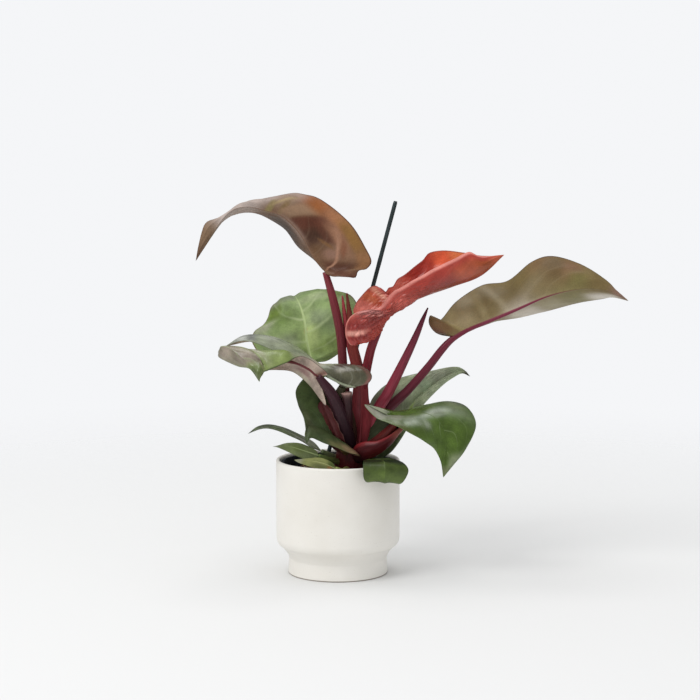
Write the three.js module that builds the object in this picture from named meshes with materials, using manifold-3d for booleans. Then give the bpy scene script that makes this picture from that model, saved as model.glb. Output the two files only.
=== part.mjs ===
// A potted philodendron: thirteen leaves on red stalks, held by a slim stake, in a nursery pot
// that stands inside a straight white cover pot.
// Millimetres, +Z up. The origin is the centre of the pot's flat underside, and the front is -Y.

import * as THREE from "three";
import { mergeVertices } from "three/addons/utils/BufferGeometryUtils.js";
import Module from "manifold-3d";

const wasm = await Module();
wasm.setup();

// Cover pot
const POT_RADIUS = 70;
const POT_HEIGHT = 130;
const POT_WALL = 4;
const POT_FLOOR = 6;
const FOOT_RADIUS = 56.5;
const NECK_RADIUS = 55.5;
const NECK_HEIGHT = 18;
const SHOULDER_HEIGHT = 40;
const SHOULDER_ROUND = 5;

// Nursery pot, standing on the cover pot's floor
const LINER_WALL = 1.2;
const LINER_FOOT_RADIUS = 47;
const LINER_RADIUS = 62.5;
const LINER_DROP = 3;
const LIP_WIDTH = 2;
const LIP_HEIGHT = 4;
const DRAIN_COUNT = 6;
const DRAIN_RADIUS = 4;
const DRAIN_CIRCLE = 28;

// Potting mix, heaped a little towards the stems
const MIX_DROP = 16;
const MIX_HEAP = 2.5;

// Support stake, a straight rod that leans to the right
const STAKE_RADIUS = 2;
const STAKE_TOP = new THREE.Vector3(64, 24, 420);
const STAKE_FOOT_HEIGHT = 60;
const STAKE_LEAN = 0.265;

// Blades and stems
const BLADE_THICKNESS = 1;
const MIDRIB_DEPTH = 0.8;
const BLADE_STEP = 13;
const FEWEST_ROWS = 9;
const BLADE_COLUMNS = [-1, -0.75, -0.5, -0.22, 0, 0.22, 0.5, 0.75, 1];
const FULL_CAMBER_CHORD = 25;
const STEM_SIDES = 8;
const STEM_STEP = 15;

// The gap between solids that touch on the real plant, and the facets of a round wall
const CLEARANCE = 0.3;
const ROUND_SIDES = 48;
const HOLE_SIDES = 12;

// Cuts that leave an edge shorter than this are evened out
const MERGED = 0.01;

// Heights that follow from the sizes above
const LINER_BASE = POT_FLOOR + CLEARANCE;
const LINER_TOP = POT_HEIGHT - LINER_DROP;
const MIX_BASE = LINER_BASE + LINER_WALL + CLEARANCE;
const MIX_TOP = POT_HEIGHT - MIX_DROP;

// Stems, each a row of [x, y, z, radius] stations. The crown stands in the mix, and every stalk
// and sheath starts inside it or inside the centre sheath.
const STEMS = {
  crown: [[18, -2, 84, 8], [18, -2, 104, 12], [19, -2, 122, 14], [21, -2, 138, 13], [25, -2, 152, 10]],
  upperLeft: [
    [15, 6, 139, 6], [10, 10, 184, 5.6], [6, 10, 232, 5.2], [3, 10, 270, 5], [-5, 10, 309, 4.7],
    [-14, 11, 341, 3.4],
  ],
  redNew: [
    [22, 0, 151, 6.4], [26, -2, 197, 5.8], [31, -4, 226, 5.4], [37, -12, 255, 5], [44, -17, 275, 4.6],
    [49, -18, 287, 3.4],
  ],
  right: [
    [32, 0, 151, 6], [53, -2, 186, 5.2], [73, -6, 209, 4.2], [96, -10, 237, 3.8], [114, -12, 260, 3.6],
    [128, -12, 270, 3],
  ],
  backLeft: [[10, 6, 138, 5], [-5, 18, 174, 4.2], [-17, 34, 206, 3.6], [-30, 48, 235, 3]],
  leftRear: [[14, -8, 141, 5.5], [13, -20, 172, 4.5], [10, -30, 196, 4], [7, -36, 216, 3.4]],
  leftFront: [
    [16, -6, 132, 8], [10, -21, 160, 8.5], [1, -37, 191, 8], [-8, -48, 212, 6.4], [-21, -55, 231, 3.6],
  ],
  lowDark: [[16, -8, 130, 5], [9, -20, 141, 4], [1, -28, 151, 3]],
  rightFront: [
    [22, -8, 134, 11], [34, -14, 142, 11], [46, -21, 153, 9], [58, -30, 167, 6], [67, -38, 179, 3.6],
  ],
  rightRear: [[30, 4, 132, 5], [46, 14, 144, 4], [57, 22, 159, 3]],
  rimCurl: [[20, -8, 125, 5], [29, -14, 130, 4.4], [38, -21, 134, 3]],
  lowThin: [[10, -2, 126, 4.5], [-3, -8, 133, 3.4], [-18, -16, 141, 2.4]],
  lowMid: [[10, -6, 124, 4.5], [-5, -22, 132, 3.2], [-21, -34, 139, 2.2]],
  lowPale: [[14, -10, 122, 4.5], [6, -34, 122, 3.2], [-2, -44, 126, 2.4]],
  spear: [
    [34, 0, 150, 6.5], [45, -6, 186, 6.5], [54, -10, 204, 6.5], [66, -14, 229, 6], [83, -16, 266, 4.5],
    [94, -16, 290, 2.5], [100, -16, 303, 0.8],
  ],
  centreSheath: [
    [19, 2, 139, 8], [25, 0, 174, 9], [26, 0, 197, 8], [25, 2, 214, 7], [22, 4, 236, 6],
    [17, 6, 259, 5], [14, 9, 287, 3.5], [10, 12, 317, 1],
  ],
  drySheath: [[16, -10, 132, 9], [6, -22, 150, 8.5], [-2, -32, 170, 7.5], [-8, -36, 192, 3]],
  sideSheath: [[20, 6, 232, 4], [12, 12, 262, 3.4], [8, 13, 290, 2.6], [5, 13, 314, 0.8]],
};

// Leaves, each with three rows of [x, y, z] stations. The rib runs from the stalk to the tip, and
// margins a and b run between the same two ends. With the tip away and upper = 1, the upper side
// is seen when a is on the left. Upper = -1 is the other way round. Camber is the bulge of each half,
// and a slip above 1 crowds the rib's first rows, where the lobes spread behind the stalk.
// On a matched leaf, stations with the same place in their rows face each other.
const LEAVES = {
  leaf_upper_left: {
    colour: 0x8a6440,
    upper: 1,
    camber: [-8, -3],
    slip: 1.5,
    rib: [
      [-14, 10, 342], [-27, 12, 357], [-38, 14, 375], [-48, 16, 390], [-62, 18, 404], [-82, 18, 410],
      [-104, 15, 414], [-123, 10, 407], [-141, 5, 384], [-159, 0, 354],
    ],
    a: [
      [-1, 2, 338], [11, -2, 337], [20, -4, 336], [23, -5, 343], [32, -5, 345], [38, -3, 354],
      [32, 4, 368], [14, 14, 395], [-18, 26, 420], [-37, 29, 427], [-56, 30, 429], [-97, 25, 420],
      [-120, 18, 407], [-136, 14, 400], [-147, 10, 396], [-152, 6, 386], [-157, 3, 368],
    ],
    b: [
      [-2, 32, 339], [-18, 48, 350], [-45, 53, 365], [-65, 50, 390], [-98, 38, 408], [-131, 23, 397],
      [-151, 9, 369],
    ],
  },
  leaf_red_new: {
    colour: 0xb5482f,
    upper: -1,
    camber: [-8, -8],
    slip: 1.5,
    rib: [
      [48, -18, 287], [63, -21, 298], [89, -25, 314], [127, -28, 328], [158, -30, 340], [184, -30, 363],
    ],
    a: [
      [21, -34, 263], [9, -38, 277], [16, -37, 296], [51, -42, 311], [91, -44, 332], [132, -40, 355],
      [157, -35, 363],
    ],
    b: [
      [16, -2, 288], [20, 2, 308], [38, 2, 325], [60, 0, 325], [81, 0, 342], [103, -2, 359],
      [142, -13, 366],
    ],
  },
  leaf_right: {
    colour: 0x7d5f35,
    upper: -1,
    camber: [-6, -3],
    slip: 1.5,
    rib: [
      [128, -12, 270], [159, -12, 283], [194, -14, 298], [234, -16, 316], [270, -14, 324],
      [297, -12, 323], [314, -10, 317], [325, -9, 310],
    ],
    a: [
      [115, -8, 272], [107, -10, 277], [102, -9, 285], [103, -6, 293], [107, -1, 292], [113, 2, 287],
      [118, 5, 290], [134, 12, 308], [163, 18, 325], [192, 20, 330], [218, 16, 352], [241, 12, 359],
      [272, 7, 350], [300, 1, 333], [312, -5, 321],
    ],
    b: [
      [131, 8, 270], [159, 22, 282], [185, 32, 289], [208, 36, 288], [236, 37, 294], [270, 32, 303],
      [297, 20, 309], [310, 6, 313],
    ],
  },
  leaf_back_left: {
    colour: 0x7f9a55,
    upper: 1,
    camber: [-4, -4],
    slip: 1.3,
    rib: [
      [-30, 48, 234], [-36, 52, 259], [-39, 60, 282], [-47, 80, 302], [-55, 110, 302], [-68, 144, 266],
    ],
    a: [
      [-8, 44, 239], [15, 42, 257], [27, 46, 281], [16, 66, 309], [-6, 92, 316], [-32, 118, 310],
      [-54, 140, 292],
    ],
    b: [
      [-53, 43, 227], [-83, 40, 238], [-98, 43, 256], [-97, 48, 268], [-86, 54, 275], [-81, 60, 283],
      [-78, 69, 296], [-73, 82, 304], [-61, 100, 304], [-66, 138, 279],
    ],
  },
  leaf_left_rear: {
    colour: 0x5d7050,
    upper: -1,
    camber: [2, 1],
    slip: 1.3,
    rib: [
      [7, -36, 215], [-8, -37, 228], [-30, -36, 241], [-56, -34, 257], [-91, -30, 267], [-125, -26, 261],
    ],
    a: [
      [21, -36, 217], [33, -35, 220], [38, -32, 227], [34, -27, 234], [23, -20, 239], [3, -15, 240],
      [-13, -14, 237], [-24, -12, 242], [-39, -4, 253], [-55, 0, 263], [-76, -2, 270],
      [-105, -12, 271],
    ],
    b: [
      [21, -42, 217], [8, -45, 219], [-15, -40, 229], [-42, -38, 243], [-68, -37, 256], [-100, -34, 268],
    ],
  },
  leaf_left_front: {
    colour: 0x62703f,
    upper: 1,
    camber: [11, 2],
    slip: 1,
    matched: true,
    rib: [
      [-21, -54, 231], [-25, -54, 233], [-32, -55, 239], [-44, -56, 245], [-60, -57, 248],
      [-78, -58, 251], [-100, -58, 254], [-119, -58, 259], [-127, -66, 265], [-118, -76, 265],
      [-105, -85, 257], [-93, -91, 246], [-84, -95, 230],
    ],
    a: [
      [-11, -44, 232], [-24, -42, 244], [-37, -50, 252], [-45, -66, 253], [-54, -76, 249],
      [-63, -82, 246], [-71, -86, 243], [-76, -88, 241], [-79, -90, 240], [-81, -92, 237],
      [-83, -94, 234],
    ],
    b: [
      [-13, -50, 198], [-31, -58, 221], [-48, -62, 236], [-66, -63, 239], [-85, -63, 239],
      [-106, -60, 243], [-120, -57, 247], [-130, -62, 253], [-125, -70, 251], [-108, -80, 245],
      [-94, -88, 243],
    ],
  },
  leaf_low_dark: {
    colour: 0x33572b,
    upper: -1,
    camber: [3, 2],
    slip: 1.7,
    rib: [
      [0, -27, 152], [-7, -31, 162], [-20, -39, 172], [-32, -49, 175], [-36, -59, 166], [-34, -64, 158],
    ],
    a: [
      [0, -16, 177], [-6, -14, 197], [-18, -16, 217], [-33, -22, 227], [-46, -34, 214], [-44, -42, 198],
      [-37, -52, 182],
    ],
    b: [[14, -30, 141], [25, -33, 138], [8, -45, 146], [-12, -52, 155], [-28, -60, 163]],
  },
  leaf_right_front: {
    colour: 0x5f9a44,
    upper: 1,
    camber: [4, 3],
    slip: 1,
    matched: true,
    rib: [
      [67, -38, 180], [68, -38, 181], [69, -39, 181], [71, -39, 183], [75, -41, 185], [82, -43, 187],
      [91, -47, 189], [101, -52, 188], [111, -58, 182], [118, -63, 169], [120, -67, 152],
      [119, -70, 136], [116, -71, 121],
    ],
    a: [
      [54, -30, 189], [43, -26, 193], [56, -22, 189], [72, -16, 185], [87, -12, 188], [106, -10, 193],
      [125, -15, 198], [144, -28, 193], [153, -44, 175], [141, -60, 151], [128, -67, 135],
    ],
    b: [
      [50, -38, 188], [30, -36, 197], [42, -44, 184], [54, -49, 179], [68, -54, 174], [80, -58, 168],
      [90, -61, 163], [98, -64, 158], [105, -66, 153], [110, -68, 146], [114, -70, 136],
    ],
  },
  leaf_right_rear: {
    colour: 0x4f7443,
    upper: 1,
    camber: [3, 3],
    slip: 1.3,
    rib: [[57, 22, 159], [73, 26, 177], [98, 34, 201], [124, 41, 219], [142, 44, 225], [152, 44, 218]],
    a: [
      [47, 18, 165], [36, 18, 182], [40, 22, 197], [57, 30, 212], [84, 36, 221], [117, 43, 227],
      [137, 44, 229], [146, 45, 224],
    ],
    b: [
      [47, 17, 139], [44, 14, 126], [59, 12, 134], [69, 12, 146], [83, 16, 168], [99, 24, 190],
      [119, 34, 208], [132, 40, 217], [142, 43, 222],
    ],
  },
  leaf_low_thin: {
    colour: 0x5a7a4c,
    upper: -1,
    camber: [1, 1],
    slip: 1.1,
    rib: [[-18, -16, 141], [-39, -22, 155], [-67, -28, 170], [-85, -32, 171], [-100, -36, 164]],
    a: [[-28, -10, 151], [-51, -14, 164], [-74, -20, 172], [-89, -28, 171]],
    b: [[-29, -22, 146], [-42, -28, 155], [-64, -34, 166], [-82, -35, 170]],
  },
  leaf_low_mid: {
    colour: 0x5c7d3c,
    upper: -1,
    camber: [1, 1],
    slip: 1.1,
    rib: [[-21, -34, 139], [-35, -36, 144], [-53, -40, 150], [-72, -44, 151]],
    a: [[-24, -30, 144], [-39, -32, 152], [-55, -36, 154], [-65, -41, 152]],
    b: [[-29, -38, 135], [-42, -40, 138], [-55, -44, 145], [-65, -46, 150]],
  },
  leaf_low_pale: {
    colour: 0x93a44b,
    upper: -1,
    camber: [1, 1],
    slip: 1.1,
    rib: [[-2, -44, 126], [-17, -48, 133], [-33, -49, 136], [-48, -49, 137]],
    a: [[-6, -44, 133], [-20, -46, 139], [-35, -47, 138]],
    b: [[-11, -50, 125], [-28, -52, 129], [-43, -51, 134]],
  },
  leaf_rim_curl: {
    colour: 0x3d5a28,
    upper: 1,
    camber: [0, 0],
    slip: 1,
    rib: [
      [38, -20, 134], [43, -34, 142], [47, -52, 146], [50, -67, 142], [51, -75, 130], [52, -69, 115],
      [51, -60, 120],
    ],
    a: [[32, -38, 139], [26, -62, 142], [26, -80, 140], [28, -86, 131], [29, -79, 119], [37, -68, 120]],
    b: [[60, -27, 141], [70, -42, 141], [75, -57, 137], [77, -64, 127], [70, -59, 110], [59, -56, 113]],
  },
};

// A closed solid through a row of loops that have equal counts, with ends that close to their middles
function loft(loops) {
  const count = loops[0].length;
  const points = loops.flat();
  const faces = [];
  for (let row = 0; row + 1 < loops.length; row += 1) {
    for (let side = 0; side < count; side += 1) {
      const a = row * count + side;
      const b = row * count + ((side + 1) % count);
      faces.push([a, b, b + count], [a, b + count, a + count]);
    }
  }
  const last = (loops.length - 1) * count;
  const start = points.push(middle(loops[0])) - 1;
  const end = points.push(middle(loops[loops.length - 1])) - 1;
  for (let side = 0; side < count; side += 1) {
    const next = (side + 1) % count;
    faces.push([start, next, side], [end, last + side, last + next]);
  }
  return solidOf(points, faces);
}

// A sheet between an upper and a lower grid of points, joined from one small wedge for each
// triangle, so that a lobe that lies against another one merges with it instead of crossing it
function sheet(upper, lower) {
  const wedges = [];
  for (let row = 0; row + 1 < upper.length; row += 1) {
    for (let at = 0; at + 1 < upper[row].length; at += 1) {
      const cell = [[row, at], [row, at + 1], [row + 1, at + 1], [row + 1, at]];
      for (const corners of [[cell[0], cell[1], cell[2]], [cell[0], cell[2], cell[3]]]) {
        const ends = [upper, lower].flatMap((grid) => corners.map(([i, j]) => grid[i][j].toArray()));
        wedges.push(wasm.Manifold.hull(ends));
      }
    }
  }
  return largest(wasm.Manifold.union(wedges).simplify(MERGED));
}

// The largest of the separate bodies in a solid, without the crumbs that cuts leave
function largest(body) {
  const bodies = body.decompose();
  return bodies.reduce((most, each) => (each.volume() > most.volume() ? each : most));
}

function middle(points) {
  const sum = points.reduce((total, point) => total.add(point), new THREE.Vector3());
  return sum.divideScalar(points.length);
}

function solidOf(points, faces) {
  return solid(new THREE.BufferGeometry().setFromPoints(points).setIndex(faces.flat()));
}

// The manifold solid of a closed geometry, facing out, without faces that have shrunk to nothing
function solid(geometry) {
  const bare = geometry.clone();
  bare.deleteAttribute("normal");
  bare.deleteAttribute("uv");
  const merged = mergeVertices(bare, 1e-3);
  const index = merged.index.array;
  const faces = [];
  for (let i = 0; i < index.length; i += 3) {
    const face = [index[i], index[i + 1], index[i + 2]];
    if (new Set(face).size === 3) faces.push(face);
  }
  const outward = volume(merged.attributes.position, faces) > 0;
  return new wasm.Manifold(new wasm.Mesh({
    numProp: 3,
    vertProperties: merged.attributes.position.array,
    triVerts: new Uint32Array(faces.flatMap((face) => (outward ? face : face.reverse()))),
  }));
}

function volume(position, faces) {
  const corner = (index) => new THREE.Vector3().fromBufferAttribute(position, index);
  return faces.reduce((sum, [a, b, c]) => sum + corner(a).dot(corner(b).cross(corner(c))) / 6, 0);
}

function geometryOf(body) {
  const { vertProperties, triVerts } = body.getMesh();
  const geometry = new THREE.BufferGeometry();
  geometry.setAttribute("position", new THREE.BufferAttribute(vertProperties, 3));
  geometry.setIndex(new THREE.BufferAttribute(triVerts, 1));
  geometry.computeVertexNormals();
  return geometry;
}

// A full turn of an outline of (radius, height) points that starts and ends on the axis
function turned(outline) {
  const lathe = new THREE.LatheGeometry(outline, ROUND_SIDES);
  return solid(lathe.rotateX(Math.PI / 2));
}

// A smooth curve through [x, y, z] stations
function curveThrough(stations) {
  const points = stations.map(([x, y, z]) => new THREE.Vector3(x, y, z));
  return new THREE.CatmullRomCurve3(points, false, "catmullrom");
}

// A round stem through [x, y, z, radius] stations, grown by the room it needs in a neighbour
function stem(stations, room) {
  const curve = curveThrough(stations);
  const steps = Math.ceil(curve.getLength() / STEM_STEP);
  const { normals, binormals } = curve.computeFrenetFrames(steps);
  const loops = normals.map((normal, step) => {
    const place = curve.getUtoTmapping(step / steps);
    const centre = curve.getPoint(place).addScaledVector(curve.getTangent(place), step === 0 ? -room : 0);
    const radius = radiusAt(stations, place * (stations.length - 1)) + room;
    return Array.from({ length: STEM_SIDES }, (_, side) => {
      const turn = (side / STEM_SIDES) * 2 * Math.PI;
      return centre.clone()
        .addScaledVector(normal, radius * Math.cos(turn))
        .addScaledVector(binormals[step], radius * Math.sin(turn));
    });
  });
  return loft(loops);
}

function radiusAt(stations, place) {
  const before = Math.min(Math.floor(place), stations.length - 2);
  return THREE.MathUtils.lerp(stations[before][3], stations[before + 1][3], place - before);
}

// The middle surface of a blade, as rows of points from margin a over the rib to margin b.
// Each half is the chord from rib to margin, bulged to its upper side by the camber. The margins
// and both ends reach further out by the room.
function bladeSurface({ rib, a, b, upper, camber, slip, matched }, room) {
  const tip = rib[rib.length - 1];
  const ribCurve = curveThrough(rib);
  const margins = [a, b].map((margin) => curveThrough([rib[0], ...margin, tip]));
  const read = (curve, along) => (matched ? curve.getPoint(along) : curve.getPointAt(along));
  const rows = Math.max(FEWEST_ROWS, Math.round(ribCurve.getLength() / BLADE_STEP));
  return Array.from({ length: rows + 1 }, (_, row) => {
    const along = row / rows;
    const onRib = along ** slip;
    const behind = read(ribCurve, Math.max(0, onRib - 0.01));
    const forward = read(ribCurve, Math.min(1, onRib + 0.01)).sub(behind).normalize();
    const onward = { 0: -room, [rows]: room }[row] ?? 0;
    const onMidrib = read(ribCurve, onRib).addScaledVector(forward, onward);
    return BLADE_COLUMNS.map((column) => {
      const half = column < 0 ? 0 : 1;
      const out = Math.abs(column);
      const chord = read(margins[half], along).addScaledVector(forward, onward).sub(onMidrib);
      const width = chord.length();
      const overhang = out === 1 ? room / Math.max(1, width) : 0;
      const bulge = camber[half] * Math.min(1, width / FULL_CAMBER_CHORD);
      const normal = forward.clone().cross(chord).normalize().multiplyScalar(half === 0 ? upper : -upper);
      return onMidrib.clone().addScaledVector(chord, out + overhang)
        .addScaledVector(normal, 4 * out * (1 - out) * bulge);
    });
  });
}

// Normals of a blade's middle surface, towards its upper side
function bladeNormals(surface, upper) {
  const across = BLADE_COLUMNS.length - 1;
  const last = surface.length - 1;
  const normals = surface.map((row, i) => row.map((_, j) => {
    const before = surface[Math.max(0, i - 1)][j];
    const after = surface[Math.min(last, i + 1)][j];
    const sideways = row[Math.min(across, j + 1)].clone().sub(row[Math.max(0, j - 1)]);
    return sideways.cross(after.clone().sub(before)).normalize().multiplyScalar(upper);
  }));
  normals[0].fill(middle(normals[1]).normalize());
  normals[last].fill(middle(normals[last - 1]).normalize());
  return normals;
}

// A leaf blade of even thickness, with a midrib that stands out below it and fades to the tip,
// grown by the room it needs in a neighbour
function blade(leaf, room) {
  const half = BLADE_THICKNESS / 2 + room;
  const surface = bladeSurface(leaf, room);
  const normals = bladeNormals(surface, leaf.upper);
  const ribColumn = BLADE_COLUMNS.indexOf(0);
  const last = surface.length - 1;
  const midrib = (i, j) => (j === ribColumn && i > 0 ? MIDRIB_DEPTH * (1 - i / last) : 0);
  const offset = (reach) => surface.map((row, i) => row.map((point, j) => (
    point.clone().addScaledVector(normals[i][j], reach(i, j))
  )));
  return sheet(offset(() => half), offset((i, j) => -half - midrib(i, j)));
}

// The cover pot from its straight wall round the shoulder and down a cone to the neck above its
// foot, set in by a wall thickness
function shoulder(inset) {
  const wall = POT_RADIUS - inset;
  const start = SHOULDER_HEIGHT + inset / 2;
  const end = start - SHOULDER_ROUND;
  const path = new THREE.Path();
  path.moveTo(wall, start);
  path.quadraticCurveTo(wall, end + 1, wall - 1.5, end);
  return [...path.getPoints(3), new THREE.Vector2(NECK_RADIUS - inset, NECK_HEIGHT + inset / 2)];
}

function coverPot() {
  const rim = new THREE.Path();
  rim.absarc(POT_RADIUS - POT_WALL / 2, POT_HEIGHT - POT_WALL / 2, POT_WALL / 2, Math.PI, 0, true);
  return turned([
    new THREE.Vector2(0, POT_FLOOR),
    new THREE.Vector2(FOOT_RADIUS - POT_WALL, POT_FLOOR),
    ...shoulder(POT_WALL).reverse(),
    ...rim.getPoints(3),
    ...shoulder(0),
    new THREE.Vector2(FOOT_RADIUS, 0),
    new THREE.Vector2(0, 0),
  ]);
}

// The nursery pot's inner radius, which grows evenly from its floor to its rim
function linerInside(height) {
  const rise = (height - LINER_BASE - LINER_WALL) / (LINER_TOP - LINER_BASE - LINER_WALL);
  return THREE.MathUtils.lerp(LINER_FOOT_RADIUS, LINER_RADIUS, rise) - LINER_WALL;
}

function nurseryPot() {
  const floor = LINER_BASE + LINER_WALL;
  const shell = turned([
    new THREE.Vector2(0, floor),
    new THREE.Vector2(linerInside(floor), floor),
    new THREE.Vector2(linerInside(LINER_TOP), LINER_TOP),
    new THREE.Vector2(LINER_RADIUS + LIP_WIDTH, LINER_TOP),
    new THREE.Vector2(LINER_RADIUS + LIP_WIDTH, LINER_TOP - LIP_HEIGHT),
    new THREE.Vector2(LINER_RADIUS, LINER_TOP - LIP_HEIGHT),
    new THREE.Vector2(LINER_FOOT_RADIUS, LINER_BASE),
    new THREE.Vector2(0, LINER_BASE),
  ]);
  const drain = new THREE.CylinderGeometry(DRAIN_RADIUS, DRAIN_RADIUS, 4 * LINER_WALL, HOLE_SIDES);
  drain.rotateX(Math.PI / 2).translate(DRAIN_CIRCLE, 0, floor);
  let drained = shell;
  for (let hole = 0; hole < DRAIN_COUNT; hole += 1) {
    drained = drained.subtract(solid(drain));
    drain.rotateZ((2 * Math.PI) / DRAIN_COUNT);
  }
  return drained;
}

function pottingMix(buried) {
  const edge = linerInside(MIX_TOP) - CLEARANCE;
  const steps = 5;
  const heap = Array.from({ length: steps + 1 }, (_, step) => {
    const inward = step / steps;
    return new THREE.Vector2(edge * (1 - inward), MIX_TOP + MIX_HEAP * (1 - (1 - inward) ** 2));
  });
  const mix = turned([
    new THREE.Vector2(0, MIX_BASE),
    new THREE.Vector2(linerInside(MIX_BASE) - CLEARANCE, MIX_BASE),
    ...heap,
  ]);
  return buried.reduce((left, body) => left.subtract(body), mix);
}

function supportStake(room) {
  const height = STAKE_TOP.z - STAKE_FOOT_HEIGHT;
  const rise = new THREE.Vector3(STAKE_LEAN * height, 0, height);
  const radius = STAKE_RADIUS + room;
  const rod = new THREE.CylinderGeometry(radius, radius, rise.length() + 2 * room, HOLE_SIDES);
  const centre = STAKE_TOP.clone().addScaledVector(rise, -0.5);
  const turn = new THREE.Quaternion().setFromUnitVectors(new THREE.Vector3(0, 1, 0), rise.normalize());
  rod.applyQuaternion(turn).translate(...centre);
  return solid(rod);
}

// All stems joined, grown by the room they need in a neighbour
function joinedStems(room) {
  const branches = Object.values(STEMS).map((stations) => stem(stations, room));
  return branches.reduce((whole, branch) => whole.add(branch));
}

// The stems, notched where blades and stake touch them
function stemsAndSheaths() {
  const blades = Object.values(LEAVES).flatMap((leaf) => [blade(leaf, 0), blade(leaf, CLEARANCE)]);
  const notched = blades.reduce((left, body) => left.subtract(body), joinedStems(0));
  return largest(notched.subtract(supportStake(CLEARANCE)).simplify(MERGED));
}

function mesh(name, body, color, roughness) {
  const material = new THREE.MeshStandardMaterial({ color, roughness, metalness: 0 });
  const piece = new THREE.Mesh(geometryOf(body), material);
  piece.name = name;
  return piece;
}

const pots = new THREE.Group();
pots.add(
  mesh("cover_pot", coverPot(), 0xe6e3de, 0.75),
  mesh("nursery_pot", nurseryPot(), 0x1d242b, 0.45),
  mesh("potting_mix", pottingMix([joinedStems(CLEARANCE), supportStake(CLEARANCE)]), 0x2c211a, 0.95),
);

const plant = new THREE.Group();
plant.add(
  mesh("support_stake", supportStake(0), 0x1f2a2c, 0.5),
  mesh("stems_and_sheaths", stemsAndSheaths(), 0x7c1d24, 0.4),
);
for (const [name, leaf] of Object.entries(LEAVES)) {
  plant.add(mesh(name, blade(leaf, 0), leaf.colour, 0.4));
}

const pottedPlant = new THREE.Group();
pottedPlant.add(pots, plant);

export default pottedPlant;
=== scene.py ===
# A potted philodendron dressed for rendering: white cover pot, nursery pot, potting mix, stake,
# red stalks and sheaths, and thirteen leaves. Metres, +Z up, the front of the plant is -Y.

import math

import bpy
import numpy as np
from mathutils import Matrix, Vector


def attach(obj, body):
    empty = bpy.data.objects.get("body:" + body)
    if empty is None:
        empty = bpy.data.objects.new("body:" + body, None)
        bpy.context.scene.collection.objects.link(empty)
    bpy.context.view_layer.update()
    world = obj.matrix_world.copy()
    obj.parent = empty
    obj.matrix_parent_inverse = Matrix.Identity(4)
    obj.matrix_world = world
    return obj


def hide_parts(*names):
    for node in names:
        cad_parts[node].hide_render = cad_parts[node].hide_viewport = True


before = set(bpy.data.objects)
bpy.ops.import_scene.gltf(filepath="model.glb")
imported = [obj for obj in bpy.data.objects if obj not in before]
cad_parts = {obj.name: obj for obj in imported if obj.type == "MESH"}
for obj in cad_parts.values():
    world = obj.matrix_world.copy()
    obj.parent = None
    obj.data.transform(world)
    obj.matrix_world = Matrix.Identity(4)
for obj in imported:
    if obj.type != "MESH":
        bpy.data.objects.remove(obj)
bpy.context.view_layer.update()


# Cover pot. A straight cylinder of white stoneware with a matt glaze, slip-cast in one piece. Its
# shoulder turns in to an arris, and a cove leads on to a narrower foot, whose ring is left bare. The
# lowest mm and a half is painted dark grey, both as the bare ring and as a painted contact shadow.
MM = 0.001
POT_RADIUS = 70
POT_HEIGHT = 130
POT_WALL = 4
POT_FLOOR = 6
FOOT_RADIUS = 56.5
NECK_RADIUS = 55.5
NECK_HEIGHT = 18
SHOULDER_HEIGHT = 42
ARRIS_HEIGHT = 33
ARRIS_INSET = 3
BEND_RISE = 4
COVE_REACH = 3.5
COVE_DROP = 5
FOOT_RING = 5
FOOT_RECESS = 1.2
CAST_EDGE = 0.7
BARE_AND_SHADED_FOOT = 1.5
GLAZE = "#f3f0e9"
GLAZE_SHADE = "#eae6dd"


def colour(text):
    """A '#rrggbb' colour as linear red, green, blue and 1."""
    parts = np.array([int(text[at:at + 2], 16) for at in (1, 3, 5)]) / 255
    linear = np.where(parts <= 0.04045, parts / 12.92, ((parts + 0.055) / 1.055) ** 2.4)
    return (*linear.tolist(), 1.0)


def material(name, roughness, coat=0.0, specular=0.5):
    """A new material and its tree, with the constant values set on the shader itself."""
    made = bpy.data.materials.new(name)
    made.use_nodes = True
    shader = made.node_tree.nodes["Principled BSDF"]
    shader.inputs["Roughness"].default_value = roughness
    shader.inputs["Coat Weight"].default_value = coat
    shader.inputs["Coat Roughness"].default_value = 0.25
    shader.inputs["Specular IOR Level"].default_value = specular
    return made, made.node_tree, shader


def feed(tree, socket, value):
    """Gives an input a socket to follow, or a fixed value or '#rrggbb' colour."""
    if isinstance(value, bpy.types.NodeSocket):
        tree.links.new(value, socket)
    else:
        socket.default_value = colour(value) if isinstance(value, str) else value


def node(tree, kind, settings=(), **values):
    """A node of that kind, with its settings and its inputs filled in."""
    made = tree.nodes.new(kind)
    for key, value in dict(settings).items():
        setattr(made, key, value)
    for key, value in values.items():
        feed(tree, made.inputs[key.replace("_", " ")], value)
    return made


def speckle(tree, scale, detail=3.0, stretch=(1, 1, 1)):
    """A noise value over Object coordinates, with a size in patches per metre."""
    place = node(tree, "ShaderNodeTexCoord").outputs["Object"]
    turn = node(tree, "ShaderNodeMapping", Vector=place, Scale=stretch).outputs["Vector"]
    return node(tree, "ShaderNodeTexNoise", Vector=turn, Scale=scale, Detail=detail).outputs["Fac"]


def ramp(tree, value, stops):
    """A colour that goes through (place, colour or grey) stops as the value grows."""
    made = node(tree, "ShaderNodeValToRGB", Fac=value)
    band = made.color_ramp
    while len(band.elements) < len(stops):
        band.elements.new(0.5)
    for element, (place, shade) in zip(band.elements, stops):
        element.position = place
        element.color = colour(shade) if isinstance(shade, str) else (shade, shade, shade, 1)
    return made.outputs["Color"]


def mixed(tree, share, first, second, blend="MIX"):
    """First and second colour mixed by a share, each a socket or a fixed value. The Mix node has
    its share at input 0 and its two colours at inputs 6 and 7."""
    made = node(tree, "ShaderNodeMix", {"data_type": "RGBA", "blend_type": blend})
    for at, value in ((0, share), (6, first), (7, second)):
        feed(tree, made.inputs[at], value)
    return made.outputs[2]


def dressed(tree, shader, shade, height, strength, distance):
    """Gives the shader a colour and a normal raised by a height, in steps of the distance."""
    raised = node(tree, "ShaderNodeBump", Strength=strength, Distance=distance, Height=height)
    tree.links.new(shade, shader.inputs["Base Color"])
    tree.links.new(raised.outputs["Normal"], shader.inputs["Normal"])


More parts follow.
